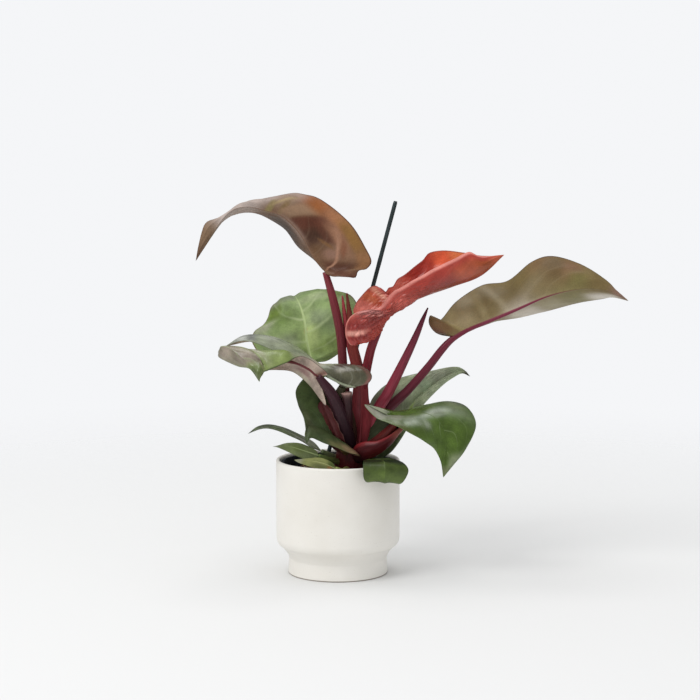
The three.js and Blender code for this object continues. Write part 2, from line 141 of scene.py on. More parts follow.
def piece(name, points, faces, materials, replaced, corners=None):
    """A smooth mesh object in metres that rides on the root body and stands for a CAD node."""
    shape = bpy.data.meshes.new(name)
    shape.from_pydata(points.tolist(), [], faces)
    shape.polygons.foreach_set("use_smooth", [True] * len(shape.polygons))
    made = bpy.data.objects.new(name, shape)
    bpy.context.scene.collection.objects.link(made)
    for one in materials:
        shape.materials.append(one)
    if corners is not None:
        layer = shape.uv_layers.new(name="skin")
        spot = np.empty(len(shape.loops), np.int32)
        shape.loops.foreach_get("vertex_index", spot)
        layer.data.foreach_set("uv", corners[spot].ravel())
    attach(made, "root")
    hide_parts(replaced)
    return made


def capped(loops, tips=None):
    """Points and faces of a closed skin through loops of points, drawn at each end to one point.
    Its signed volume says whether the faces point outwards, and they are turned round if not."""
    rows, around = loops.shape[:2]
    ends = np.array([loops[0].mean(axis=0), loops[-1].mean(axis=0)]) if tips is None else tips
    points = np.vstack([loops.reshape(-1, 3), ends])
    row, at = np.meshgrid(np.arange(rows - 1), np.arange(around), indexing="ij")
    beside = (at + 1) % around
    quads = np.stack([row * around + at, row * around + beside,
                      (row + 1) * around + beside, (row + 1) * around + at], axis=-1).reshape(-1, 4)
    at, beside, last = at[0], beside[0], (rows - 1) * around
    start = np.stack([np.full(around, rows * around), beside, at], axis=-1)
    end = np.stack([np.full(around, rows * around + 1), last + at, last + beside], axis=-1)
    thirds = np.vstack([quads[:, [0, 1, 2]], quads[:, [0, 2, 3]], start, end])
    corner, second, third = (points[thirds[:, side]] for side in range(3))
    if np.einsum("ij,ij", corner, np.cross(second, third)) < 0:
        quads, start, end = quads[:, ::-1], start[:, ::-1], end[:, ::-1]
    return points, quads.tolist() + start.tolist() + end.tolist()


def turned(outline, around):
    """A closed skin of (radius, height) points turned round the axis, in metres."""
    angle = np.arange(around) / around * math.tau
    radius, height = np.array(outline, float).T * MM
    across = radius[:, None] * np.cos(angle)
    deep = radius[:, None] * np.sin(angle)
    return capped(np.stack([across, deep, np.broadcast_to(height[:, None], across.shape)], axis=-1))


def arc(start, corner, end):
    """Points on a quadratic arc from start to end, whose tangents there meet at the corner."""
    share = np.linspace(0, 1, 7)[:, None]
    start, corner, end = np.array([start, corner, end], float)
    return (1 - share) ** 2 * start + 2 * share * (1 - share) * corner + share ** 2 * end


def rounded(points, radius):
    """An outline whose inner corners are cut by arcs that start a radius before them."""
    points = np.array(points, float)
    soft = [points[:1]]
    for before, corner, after in zip(points, points[1:], points[2:]):
        reach = min(radius, np.linalg.norm(corner - before) / 2, np.linalg.norm(after - corner) / 2)
        start = corner + (before - corner) / np.linalg.norm(before - corner) * reach
        end = corner + (after - corner) / np.linalg.norm(after - corner) * reach
        soft.append(arc(start, corner, end))
    soft.append(points[-1:])
    return np.vstack(soft)


def shoulder(inset):
    """The outline from the straight wall round the shoulder to an arris, and on through a cove to
    the neck above the foot, set in by a wall thickness."""
    wall, neck = POT_RADIUS - inset, NECK_RADIUS - inset
    start, arris, end = np.array([SHOULDER_HEIGHT, ARRIS_HEIGHT, NECK_HEIGHT]) + inset / 2
    edge = (wall - ARRIS_INSET, arris)
    bend = arc((wall, start), (wall, arris + BEND_RISE), edge)
    cove = arc(edge, (neck + COVE_REACH, arris - COVE_DROP), (neck, end))
    return np.vstack([bend, cove[1:]])


def glazed_stoneware():
    made, tree, shader = material("glazed_stoneware", roughness=0.42, coat=0.15)
    cloud = ramp(tree, speckle(tree, 14, detail=5), [(0.3, GLAZE_SHADE), (0.7, GLAZE)])
    dots = ramp(tree, speckle(tree, 900, detail=1), [(0.0, 0.0), (0.72, 0.0), (0.8, 1.0)])
    dotted = mixed(tree, dots, cloud, "#d3cdc1")
    place = node(tree, "ShaderNodeTexCoord").outputs["Object"]
    height = node(tree, "ShaderNodeSeparateXYZ", Vector=place).outputs["Z"]
    # The lowest band is painted dark: bare stoneware, and also a painted contact shadow where the foot
    # meets the floor.
    bare_and_shaded_foot = node(tree, "ShaderNodeMapRange", Value=height, From_Min=BARE_AND_SHADED_FOOT * MM,
                From_Max=0.6 * BARE_AND_SHADED_FOOT * MM)
    shade = mixed(tree, bare_and_shaded_foot.outputs["Result"], dotted, "#8c8276")
    dressed(tree, shader, shade, speckle(tree, 60, detail=4), 0.12, 0.001)
    return made


half_wall = POT_WALL / 2
turn = np.linspace(math.pi, 0, 13)
rim = np.stack([POT_RADIUS - half_wall + half_wall * np.cos(turn),
                POT_HEIGHT - half_wall + half_wall * np.sin(turn)], axis=-1)
outline = [(0, POT_FLOOR), (FOOT_RADIUS - POT_WALL, POT_FLOOR), *shoulder(POT_WALL)[::-1], *rim,
           *shoulder(0), (FOOT_RADIUS, 0), (FOOT_RADIUS - FOOT_RING, 0),
           (FOOT_RADIUS - FOOT_RING - 2, FOOT_RECESS), (0, FOOT_RECESS)]
pot_points, pot_faces = turned(rounded(outline, CAST_EDGE)[1:-1], 160)
piece("white_cover_pot", pot_points, pot_faces, [glazed_stoneware()], "cover_pot")


# Nursery pot. A thin injection-moulded pot of dark blue-black plastic that stands loose inside the
# cover pot. Only its rolled rim shows, dusty from the mix and a little scuffed.
def scuffed_plastic():
    made, tree, shader = material("scuffed_dark_plastic", roughness=0.45, specular=0.25)
    dust = ramp(tree, speckle(tree, 120, detail=6), [(0.45, "#141a21"), (0.75, "#2c333b")])
    scuffs = ramp(tree, speckle(tree, 260, detail=3), [(0.3, 0.35), (0.7, 0.62)])
    tree.links.new(scuffs, shader.inputs["Roughness"])
    dressed(tree, shader, dust, speckle(tree, 500, detail=2), 0.2, 0.0004)
    return made


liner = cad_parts["nursery_pot"]
liner.data.materials.clear()
liner.data.materials.append(scuffed_plastic())


# Potting mix. Dark peat with loose bark chips and white perlite crumbs on top, heaped a little
# towards the stems. It fills the nursery pot to just below its rim.
MIX_RADIUS = 59.2
MIX_TOP = 114
MIX_HEAP = 2.5
MIX_BASE = 7.8
MIX_FOOT_RADIUS = 45.6
MIX_RINGS = 45
MIX_AROUND = 150
CHIP_COUNT = 620
PERLITE_FROM = 0.86
chance = np.random.default_rng(7)


def waves(place, size, seed, count=14):
    """Smooth random waves over points: a sum of sines with random directions, about -1 to 1."""
    draw = np.random.default_rng(seed)
    heading = draw.normal(size=(count, place.shape[-1]))
    heading *= draw.uniform(0.6, 1.5, (count, 1)) / np.linalg.norm(heading, axis=1, keepdims=True)
    phase = draw.uniform(0, math.tau, count)
    return np.sin(place @ heading.T * math.tau / size + phase).sum(axis=-1) / math.sqrt(count)


def moist_peat():
    made, tree, shader = material("moist_peat", roughness=0.92, specular=0.25)
    crumbs = ramp(tree, speckle(tree, 420, detail=8),
                  [(0.3, "#120d0a"), (0.55, "#2c2119"), (0.75, "#4a382a")])
    dressed(tree, shader, crumbs, speckle(tree, 700, detail=6), 0.9, 0.0015)
    return made


def bark_and_perlite():
    """Each chip's colour is picked by its own random number, from dark bark to white perlite."""
    made, tree, shader = material("bark_and_perlite", roughness=0.85, specular=0.3)
    pick = node(tree, "ShaderNodeAttribute", {"attribute_name": "pick"})
    shade = ramp(tree, pick.outputs["Fac"], [(0.0, "#1d1410"), (0.35, "#4b3222"), (0.6, "#7a573a"),
                                             (0.84, "#a27c55"), (0.9, "#d8d2c6"), (1.0, "#efece6")])
    grain = ramp(tree, speckle(tree, 900, detail=4), [(0.3, 0.55), (0.7, 1.1)])
    grained = mixed(tree, 1.0, shade, grain, "MULTIPLY")
    dressed(tree, shader, grained, speckle(tree, 1200, detail=4), 0.5, 0.0006)
    return made


ring = np.linspace(0, 1, MIX_RINGS + 1)[:-1]
spin = np.arange(MIX_AROUND) / MIX_AROUND * math.tau
reach = (1 - ring)[:, None] * MIX_RADIUS
heap = MIX_TOP + MIX_HEAP * (1 - (1 - ring[:, None]) ** 2)
top = np.stack([reach * np.cos(spin), reach * np.sin(spin),
                np.broadcast_to(heap, (MIX_RINGS, MIX_AROUND))], axis=-1)
top[..., 2] += 0.9 * waves(top, size=9, seed=3) * np.minimum(1, ring * 12)[:, None]
side = np.stack([np.cos(spin) * MIX_FOOT_RADIUS, np.sin(spin) * MIX_FOOT_RADIUS,
                 np.full(MIX_AROUND, MIX_BASE)], axis=-1)[None]
mix_points, mix_faces = capped(np.concatenate([side, top]) * MM)
piece("peat_mix", mix_points, mix_faces, [moist_peat()], "potting_mix")

# Every chip and crumb is an icosahedron, flattened, roughened and turned at random.
far = (1 + math.sqrt(5)) / 2
crumb = np.array([(-1, far, 0), (1, far, 0), (-1, -far, 0), (1, -far, 0), (0, -1, far), (0, 1, far),
                  (0, -1, -far), (0, 1, -far), (far, 0, -1), (far, 0, 1), (-far, 0, -1),
                  (-far, 0, 1)]) / 1.9
crumb_faces = np.array([
    (0, 11, 5), (0, 5, 1), (0, 1, 7), (0, 7, 10), (0, 10, 11), (1, 5, 9), (5, 11, 4), (11, 10, 2),
    (10, 7, 6), (7, 1, 8), (3, 9, 4), (3, 4, 2), (3, 2, 6), (3, 6, 8), (3, 8, 9), (4, 9, 5), (2, 4, 11),
    (6, 2, 10), (8, 6, 7), (9, 8, 1),
])
away = MIX_RADIUS * 0.97 * np.sqrt(chance.uniform(0, 1, CHIP_COUNT))
angle = chance.uniform(0, math.tau, CHIP_COUNT)
chip_pick = chance.uniform(0, 1, CHIP_COUNT)
size = np.stack([chance.uniform(0.8, 3.4, CHIP_COUNT), chance.uniform(0.6, 1.6, CHIP_COUNT),
                 chance.uniform(0.3, 0.9, CHIP_COUNT)], axis=-1)
perlite = chip_pick > PERLITE_FROM
size[perlite] = size[perlite].mean(axis=1, keepdims=True)
tilt, roll = chance.normal(0, 0.35, (2, CHIP_COUNT))
yaw = chance.uniform(0, math.tau, CHIP_COUNT)
chips = crumb[None] * size[:, None] * chance.uniform(0.75, 1.2, (CHIP_COUNT, len(crumb), 1))
for first, second, turn_by in ((1, 2, tilt), (2, 0, roll), (0, 1, yaw)):
    cosine, sine = np.cos(turn_by)[:, None], np.sin(turn_by)[:, None]
    one, two = chips[..., first].copy(), chips[..., second].copy()
    chips[..., first], chips[..., second] = one * cosine - two * sine, one * sine + two * cosine
seat = MIX_TOP + MIX_HEAP * (1 - (away / MIX_RADIUS) ** 2) + 0.8
chips += np.stack([away * np.cos(angle), away * np.sin(angle), seat], axis=-1)[:, None]
chip_faces = (crumb_faces + len(crumb) * np.arange(CHIP_COUNT)[:, None, None]).reshape(-1, 3).tolist()
chip_piece = piece("bark_chips_and_perlite", chips.reshape(-1, 3) * MM, chip_faces,
                   [bark_and_perlite()], "potting_mix")
chip_layer = chip_piece.data.attributes.new("pick", "FLOAT", "POINT")
chip_layer.data.foreach_set("value", np.repeat(chip_pick, len(crumb)))
chip_piece.data.polygons.foreach_set("use_smooth", [False] * len(chip_faces))


# Support stake. A slim straight rod of dark green coated bamboo, pushed into the mix beside the
# crown and leaning to the right. It is a little thicker at each node and cut off square at the top.
STAKE_TOP = np.array([65.2, 24, 420])
STAKE_LEAN = 0.265
STAKE_FOOT_HEIGHT = 60
STAKE_RADIUS = 2.5
NODE_SPACING = 85
NODE_LENGTH = 4


def unit(vectors):
    """Vectors scaled to length 1."""
    return vectors / np.maximum(1e-9, np.linalg.norm(vectors, axis=-1, keepdims=True))


def tube(path, radius, around, ridge=0.0):
    """Loops round a path: each is a circle of the radius there, with seven low ridges. Its two
    directions are square to the path, and one is square to the axis that the path follows
    least, so the loops don't twist."""
    ahead = unit(np.gradient(path, axis=0))
    least = np.eye(3)[np.argmin(np.abs(ahead.mean(axis=0)))]
    first = unit(np.cross(ahead, least))
    second = np.cross(ahead, first)
    angle = np.arange(around) / around * math.tau
    reach = radius[:, None] * (1 + ridge * np.cos(7 * angle)[None])
    return (path[:, None] + first[:, None] * (reach * np.cos(angle))[..., None]
            + second[:, None] * (reach * np.sin(angle))[..., None])


def coated_cane():
    made, tree, shader = material("dark_green_coated_cane", roughness=0.42)
    streaks = ramp(tree, speckle(tree, 60, detail=5, stretch=(6, 6, 0.6)),
                   [(0.3, "#232f30"), (0.6, "#324041"), (0.8, "#4b5a5b")])
    dressed(tree, shader, streaks, speckle(tree, 200, detail=4, stretch=(6, 6, 0.5)), 0.3, 0.0004)
    return made


stake_height = np.linspace(STAKE_FOOT_HEIGHT, STAKE_TOP[2], 150)
stake_path = STAKE_TOP - np.stack([STAKE_LEAN * (STAKE_TOP[2] - stake_height), 0 * stake_height,
                                   STAKE_TOP[2] - stake_height], axis=-1)
from_node = (stake_height + 30) % NODE_SPACING - 42
stake_radius = STAKE_RADIUS * (0.94 + 0.06 * np.exp(-(from_node / NODE_LENGTH) ** 2))
stake_radius[-1] *= 0.8
stake_points, stake_faces = capped(tube(stake_path, stake_radius, 24) * MM)
piece("dark_stake", stake_points, stake_faces, [coated_cane()], "support_stake")


# Stalks and crown. Juicy dark red petioles that all grow from one short crown in the mix, each
# with a broad foot that wraps the next, lighter towards its leaf, glossy and finely streaked.
STALKS = {
    "crown": [(17, -3, 84, 8), (15, -5, 104, 13), (14, -7, 122, 17), (15, -7, 138, 16), (20, -5, 152, 11)],
    "upperLeft": [
        (15, 6, 139, 6), (10, 10, 184, 5.6), (6, 10, 232, 5.2), (3, 10, 270, 5), (-5, 10, 309, 4.7),
        (-14, 11, 341, 3.4),
    ],
    "redNew": [
        (22, 0, 151, 6.4), (26, -2, 197, 5.8), (31, -4, 226, 5.4), (37, -12, 255, 5),
        (44, -17, 275, 4.6), (49, -18, 287, 3.4),
    ],
    "right": [
        (32, 0, 151, 6.6), (54, -2, 184, 6), (78, -6, 208, 5), (101, -10, 235, 4.5),
        (117, -12, 256, 4.2), (129, -12, 268, 3.4), (146, -12, 278, 2.4), (166, -12, 287, 1.2),
    ],
    "backLeft": [(10, 6, 138, 5), (-5, 18, 174, 4.2), (-17, 34, 206, 3.6), (-30, 48, 235, 3)],
    "leftRear": [
        (14, -8, 141, 9), (12, -18, 172, 8.5), (6, -28, 196, 8), (3, -34, 208, 6.5), (5, -37, 217, 4),
    ],
    "leftFront": [
        (16, -6, 132, 8), (10, -21, 160, 8.5), (1, -37, 191, 8), (-8, -48, 212, 6.4),
        (-21, -55, 231, 3.6),
    ],
    "lowDark": [(16, -8, 130, 5), (9, -20, 141, 4), (1, -28, 151, 3)],
    "rightFront": [
        (22, -8, 134, 9), (34, -12, 142, 8), (46, -19, 153, 7), (58, -29, 167, 5.4),
        (67, -38, 179, 3.6),
    ],
    "rightRear": [(30, 4, 132, 5), (46, 14, 144, 4), (57, 22, 159, 3)],
    "rimCurl": [(20, -8, 125, 5), (29, -14, 130, 4.4), (38, -21, 134, 3)],
    "lowThin": [(10, -2, 126, 4.5), (-3, -8, 133, 3.4), (-18, -16, 141, 2.4)],
    "lowMid": [(10, -6, 124, 4.5), (-5, -22, 132, 3.2), (-21, -34, 139, 2.2)],
    "lowPale": [(14, -10, 122, 4.5), (6, -34, 122, 3.2), (-2, -44, 126, 2.4)],
}
STALK_ROWS = 70
STALK_COLOURS = {
    "crown": ("#42161a", "#5c1c1e"),
    "upperLeft": ("#3d1417", "#863a42"),
    "redNew": ("#741a20", "#7c2c36"),
    "right": ("#4c2028", "#7c2e40"),
    "backLeft": ("#5c1520", "#7d8a5c"),
    "leftRear": ("#351518", "#3c3a28"),
    "leftFront": ("#141016", "#42232b"),
    "lowDark": ("#3a1518", "#6d5a34"),
    "rightFront": ("#4d1f20", "#6b2a26"),
    "rightRear": ("#4a1518", "#5f6c3c"),
    "rimCurl": ("#3a1116", "#4c5a34"),
    "lowThin": ("#4b1117", "#7c8a62"),
    "lowMid": ("#4b1117", "#7c9052"),
    "lowPale": ("#6b2a22", "#a3ae62"),
}


def read(stations, place):
    """Points of a Catmull-Rom curve through stations, at places from 0 to 1 by station count."""
    stations = np.array(stations, float)
    held = np.vstack([2 * stations[0] - stations[1], stations, 2 * stations[-1] - stations[-2]])
    spans = len(stations) - 1
    spot = np.clip(place, 0, 1) * spans
    first = np.minimum(spot.astype(int), spans - 1)
    part = (spot - first)[:, None]
    before, start, end, after = (held[first + step] for step in range(4))
    return 0.5 * (2 * start + (end - before) * part
                  + (2 * before - 5 * start + 4 * end - after) * part ** 2
                  + (3 * start - before - 3 * end + after) * part ** 3)


def read_evenly(stations, place):
    """The same curve at places from 0 to 1 of its length."""
    fine = np.linspace(0, 1, 401)
    steps = np.linalg.norm(np.diff(read(stations, fine)[:, :3], axis=0), axis=1)
    run = np.concatenate([[0], np.cumsum(steps)])
    return read(stations, np.interp(np.clip(place, 0, 1) * run[-1], run, fine))


def tint(made, shades):
    """Stores a colour for each vertex, which the piece's material reads."""
    layer = made.data.attributes.new("tint", "FLOAT_COLOR", "POINT")
    layer.data.foreach_set("color", np.column_stack([shades, np.ones(len(shades))]).ravel())


def juicy_stalk():
    made, tree, shader = material("juicy_red_stalk", roughness=0.36, coat=0.1, specular=0.15)
    base = node(tree, "ShaderNodeAttribute", {"attribute_name": "tint"}).outputs["Color"]
    skin = node(tree, "ShaderNodeUVMap", {"uv_map": "skin"}).outputs["UV"]
    long_way = node(tree, "ShaderNodeMapping", Vector=skin, Scale=(40, 9, 1)).outputs["Vector"]
    fibre = node(tree, "ShaderNodeTexNoise", Vector=long_way, Scale=1.0, Detail=5.0).outputs["Fac"]
    streaks = ramp(tree, fibre, [(0.3, 0.72), (0.7, 1.25)])
    streaked = mixed(tree, 1.0, base, streaks, "MULTIPLY")
    flecks = ramp(tree, speckle(tree, 520, detail=2), [(0.0, 0.0), (0.72, 0.0), (0.78, 0.2)])
    dressed(tree, shader, mixed(tree, flecks, streaked, "#b98a7c"), fibre, 0.35, 0.0006)
    return made


stalk_skin = juicy_stalk()


def stalk(name, stations, foot_colour, leaf_colour, around=28, ridge=0.03, tip=1.0):
    """A tapered tube through (x, y, z, radius) stations. Its colour goes from the foot's to the
    leaf's with its length to the power tip, so a high power keeps the second colour at the end."""
    place = np.linspace(0, 1, STALK_ROWS)
    path = read_evenly(stations, place)
    points, faces = capped(tube(path[:, :3], path[:, 3], around, ridge) * MM)
    turn = np.linspace(0, 1, around)
    corners = np.stack(np.meshgrid(place, turn, indexing="ij")[::-1], axis=-1).reshape(-1, 2)
    corners = np.vstack([corners, [[0.5, 0], [0.5, 1]]])
    share = np.concatenate([np.repeat(place, around), [0, 1]])[:, None] ** tip
    made = piece(name, points, faces, [stalk_skin], "stems_and_sheaths", corners)
    foot, leaf = (np.array(colour(text)[:3]) for text in (foot_colour, leaf_colour))
    tint(made, foot * (1 - share) + leaf * share)


for stalk_name, ends in STALK_COLOURS.items():
    stalk(f"stalk_{stalk_name}", STALKS[stalk_name], *ends)


# Spear and sheaths. The spear is a new leaf still rolled up, crimson and smooth. Two papery sheaths
# that covered earlier leaves stay on behind it, dark red with thin tips, and a stalk that was cut
# off is left as a short dry stub, whose pale end is a painted highlight.
SPEAR = [
    (34, 0, 150, 6.5), (45, -6, 186, 6.5), (55, -10, 204, 6.2), (67.5, -14, 229, 5.4),
    (85, -16, 266, 4), (95, -16, 290, 2.4), (100.5, -16, 303, 0.8),
]
DRY_STUB = [(13, -18, 160, 4), (12.4, -31, 180, 4.6), (11, -39, 198, 5.4), (10, -41, 211, 6.2)]
CENTRE_SHEATH = [
    (19, 2, 139, 8), (25, 0, 174, 9), (26, 0, 197, 8), (25, 2, 214, 7), (22, 4, 236, 6),
    (17, 6, 259, 5), (14, 9, 287, 3.5), (10, 12, 317, 1),
]
SIDE_SHEATH = [(20, 6, 232, 4), (12, 12, 262, 3.4), (8, 13, 290, 2.6), (5, 13, 314, 0.8)]

stalk("rolled_spear", SPEAR, "#a03c4a", "#5c2636", ridge=0.015)
# The pale colour at the dry stub's end is a painted highlight.
stalk("dry_stub", DRY_STUB, "#30181c", "#a08078", around=20, tip=24.0)
stalk("centre_sheath", CENTRE_SHEATH, "#84282d", "#74382e", ridge=0.05)
stalk("side_sheath", SIDE_SHEATH, "#8a3036", "#b04a50", ridge=0.04)


# Leaf blades. Each is a thin waxy sheet on a stout midrib that carries on from its stalk, with side
# veins that curve out to a fine rolled edge. The upper side is glossy and the under side satin.
BLADE_THICKNESS = 0.7
FULL_CAMBER_CHORD = 25
VEIN_CURVE = 1.4
RIB_CROWDING = 1.25
EDGE_THINNING = 0.55
END_THINNING = 0.6
END_SLOPE = 5
RIDGE_ON_TOP = 0.25
SMALL_GRID = (60, 41)


def blade_sheet(leaf, place, across):
    """The middle surface of a blade: rib + out * chord + 4 * out * (1 - out) * bulge * normal,
    where out is the distance from the rib as a share of the chord from rib to margin."""
    reader = read if leaf.get("matched") else read_evenly
    rib, out = leaf["rib"], np.abs(across)
    on_rib = place ** leaf["slip"]
    middle = reader(rib, on_rib)
    forward = unit(reader(rib, np.minimum(1, on_rib + 0.01)) - reader(rib, np.maximum(0, on_rib - 0.01)))
    chords = [reader([rib[0], *leaf[side], rib[-1]], place) - middle for side in ("a", "b")]
    half = (across >= 0).astype(int)
    chord = np.stack(chords)[half].transpose(1, 0, 2)
    width = np.linalg.norm(chord, axis=-1)
    sign = np.where(half == 0, leaf["upper"], -leaf["upper"])
    normal = unit(np.cross(forward[:, None], chord)) * sign[None, :, None]
    bulge = np.array(leaf["camber"])[half] * np.minimum(1, width / FULL_CAMBER_CHORD)
    sheet = middle[:, None] + chord * out[None, :, None]
    return sheet + normal * (4 * out * (1 - out) * bulge)[..., None], width * out


def painted(base, patches, place, across):
    """A base colour with patches: (along, across, reach along, reach across, colour), and for a
    crisp edge a number above 1.5, with a last one for how far the patch leans along the blade."""
    shades = np.broadcast_to(np.array(colour(base)[:3]), (*place.shape, 3)).copy()
    for along, beside, reach, spread, text, *shape in patches:
        crisp, lean = (*shape, *(1.5, 0)[len(shape):])
        share = bump(place - along - lean * (across - beside), across - beside, reach, spread, crisp)
        shades += (np.array(colour(text)[:3]) - shades) * share[..., None]
    return shades


def bump(along, beside, reach, spread, crisp=1.5):
    """A soft hill of height 1: exp(-(|along| / reach) ** (2 * crisp)) times the same for the
    distance across and the spread. It is round at 1 and squarer with sharper sides above that."""
    return np.exp(-np.abs(along / reach) ** (2 * crisp) - np.abs(beside / spread) ** (2 * crisp))


def blade(name, leaf, top_skin, top_paint, under_skin, under_paint, grid=(120, 81)):
    """A closed blade: the middle surface lifted by quilting between the side veins, a rippled
    margin and crinkles, then given a thickness that thins to the margin and a midrib below."""
    rows, columns = grid
    place = np.linspace(0, 1, rows)
    side = np.linspace(-1, 1, columns)
    across = np.sign(side) * np.abs(side) ** RIB_CROWDING
    out = np.abs(across)
    sheet, from_rib = blade_sheet(leaf, place, across)
    lift = unit(np.cross(np.gradient(sheet, axis=1), np.gradient(sheet, axis=0))) * leaf["upper"]
    along, beside = np.meshgrid(place, across, indexing="ij")
    ends = np.minimum(1, np.sin(math.pi * along) * END_SLOPE)
    veins = (along - leaf["sweep"] * out ** VEIN_CURVE) * leaf["veins"]
    puff = np.abs(np.sin(math.pi * veins)) * np.sqrt(np.clip(4 * out * (1 - out), 0, 1))
    wave = np.sin(math.tau * leaf["ripples"] * along + 2 * np.sign(beside)) * out ** 3
    rise = leaf["quilt"] * puff + leaf["ripple"] * wave
    for at, beyond, reach, spread, height in leaf.get("dents", ()):
        rise = rise + height * bump(along - at, beside - beyond, reach, spread, 1)
    if "crinkle" in leaf:
        depth, scale, centre, spread = leaf["crinkle"]
        spot = np.stack([along * 1.6, beside], axis=-1)
        rumple = 0.5 - np.abs(waves(spot, scale, seed=11, count=18))
        nearer = np.where(beside < 0, 1.0, 0.3)
        fold = np.sqrt(out) * (1 - 0.8 * out ** 6) * np.exp(-((along - centre) / spread) ** 2)
        rise = rise + depth * nearer * rumple * fold
    sheet = sheet + lift * (rise * ends)[..., None]
    to_end = 1 - END_THINNING + END_THINNING * ends
    thin = BLADE_THICKNESS / 2 * (1 - EDGE_THINNING * out ** 6) * to_end
    rib_width = leaf["rib_width"] * (1 - 0.9 * along)
    ridge = leaf.get("rib_depth", 1.1) * (1 - along) ** 0.8 * np.exp(-(from_rib / rib_width) ** 2) * ends
    top = sheet + lift * (thin + RIDGE_ON_TOP * ridge)[..., None]
    bottom = sheet - lift * (thin + ridge)[..., None]
    loops = np.concatenate([top, bottom[:, ::-1]], axis=1)[1:-1]
    tips = np.array([leaf["rib"][0], leaf["rib"][-1]], float)
    points, faces = capped(loops * MM, tips * MM)
    corners = with_ends(np.stack([(beside + 1) / 2, along], axis=-1), (0.5, 0), (0.5, 1))
    made = piece(name, points, faces, [top_skin, under_skin],
                 leaf.get("node", name.replace("blade", "leaf")), corners)
    around = 2 * columns
    cells = np.arange((rows - 3) * around) % around
    fans = np.tile(np.arange(around), 2)
    below = np.concatenate([cells, fans]) >= columns - 1
    made.data.polygons.foreach_set("material_index", below.astype(np.int32))
    shades = [painted(*paint, along, beside) for paint in (top_paint, under_paint)]
    shades = np.concatenate([shades[0], shades[1][:, ::-1]], axis=1)[1:-1]
    tint(made, np.vstack([shades.reshape(-1, 3), shades[0].mean(axis=0), shades[-1].mean(axis=0)]))
    rib_share = made.data.attributes.new("rib_share", "FLOAT", "POINT")
    faded = from_rib / rib_width + 2.2 * np.maximum(0, along - 0.5)
    rib_share.data.foreach_set("value", with_ends(faded[..., None], 0, 1).ravel())


def with_ends(values, first, last):
    """Values of the grid for both faces of a blade, with one more value for each of its two ends."""
    both = np.concatenate([values, values[:, ::-1]], axis=1)[1:-1].reshape(-1, values.shape[-1])
    return np.vstack([both, np.full_like(both[:1], first), np.full_like(both[:1], last)])


def math_node(tree, action, first, second=0.0, third=0.0):
    """The result of one Math node on sockets or numbers."""
    made = node(tree, "ShaderNodeMath", {"operation": action})
    for socket, value in zip(made.inputs, (first, second, third)):
        feed(tree, socket, value)
    return made.outputs["Value"]


def vein_group():
    """Masks of the side veins, from the blade's own map: |across| sweeps each vein forward, and the
    distance to the nearest whole vein number is turned into a line that fades to the margin."""
    group = bpy.data.node_groups.new("side_veins", "ShaderNodeTree")
    for name in ("Count", "Sweep", "Width"):
        group.interface.new_socket(name, in_out="INPUT", socket_type="NodeSocketFloat")
    for name in ("Veins", "Fine Veins", "Out"):
        group.interface.new_socket(name, in_out="OUTPUT", socket_type="NodeSocketFloat")
    given, result = node(group, "NodeGroupInput"), node(group, "NodeGroupOutput")
    skin = node(group, "ShaderNodeUVMap", {"uv_map": "skin"}).outputs["UV"]
    parts = node(group, "ShaderNodeSeparateXYZ", Vector=skin)
    centred = math_node(group, "MULTIPLY_ADD", parts.outputs["X"], 2.0, -1.0)
    out = math_node(group, "ABSOLUTE", centred)
    bent = math_node(group, "POWER", out, VEIN_CURVE)
    curved = math_node(group, "MULTIPLY", bent, given.outputs["Sweep"])
    swept = math_node(group, "SUBTRACT", parts.outputs["Y"], curved)
    fade = math_node(group, "SQRT", math_node(group, "SUBTRACT", 1.0, out))
    beyond = math_node(group, "MULTIPLY", math_node(group, "GREATER_THAN", centred, 0.0), 0.4)
    even = math_node(group, "MULTIPLY_ADD", swept, given.outputs["Count"], beyond)
    for label, times, stray in (("Veins", 1.0, 0.35), ("Fine Veins", 6.0, 3.0)):
        drift = math_node(group, "MULTIPLY", speckle(group, 45, detail=2), stray)
        away = math_node(group, "PINGPONG", math_node(group, "MULTIPLY_ADD", even, times, drift), 0.5)
        width = math_node(group, "MULTIPLY", given.outputs["Width"], times ** 0.7)
        line = node(group, "ShaderNodeMapRange", {"interpolation_type": "SMOOTHSTEP"}, Value=away,
                    From_Min=0.0, From_Max=width, To_Min=1.0, To_Max=0.0)
        faded = math_node(group, "MULTIPLY", line.outputs["Result"], fade)
        faint = ramp(group, speckle(group, 30, detail=3), [(0.35, 0.15), (0.65, 1.0)])
        group.links.new(math_node(group, "MULTIPLY", faded, faint), result.inputs[label])
    group.links.new(out, result.inputs["Out"])
    return group


side_veins = vein_group()


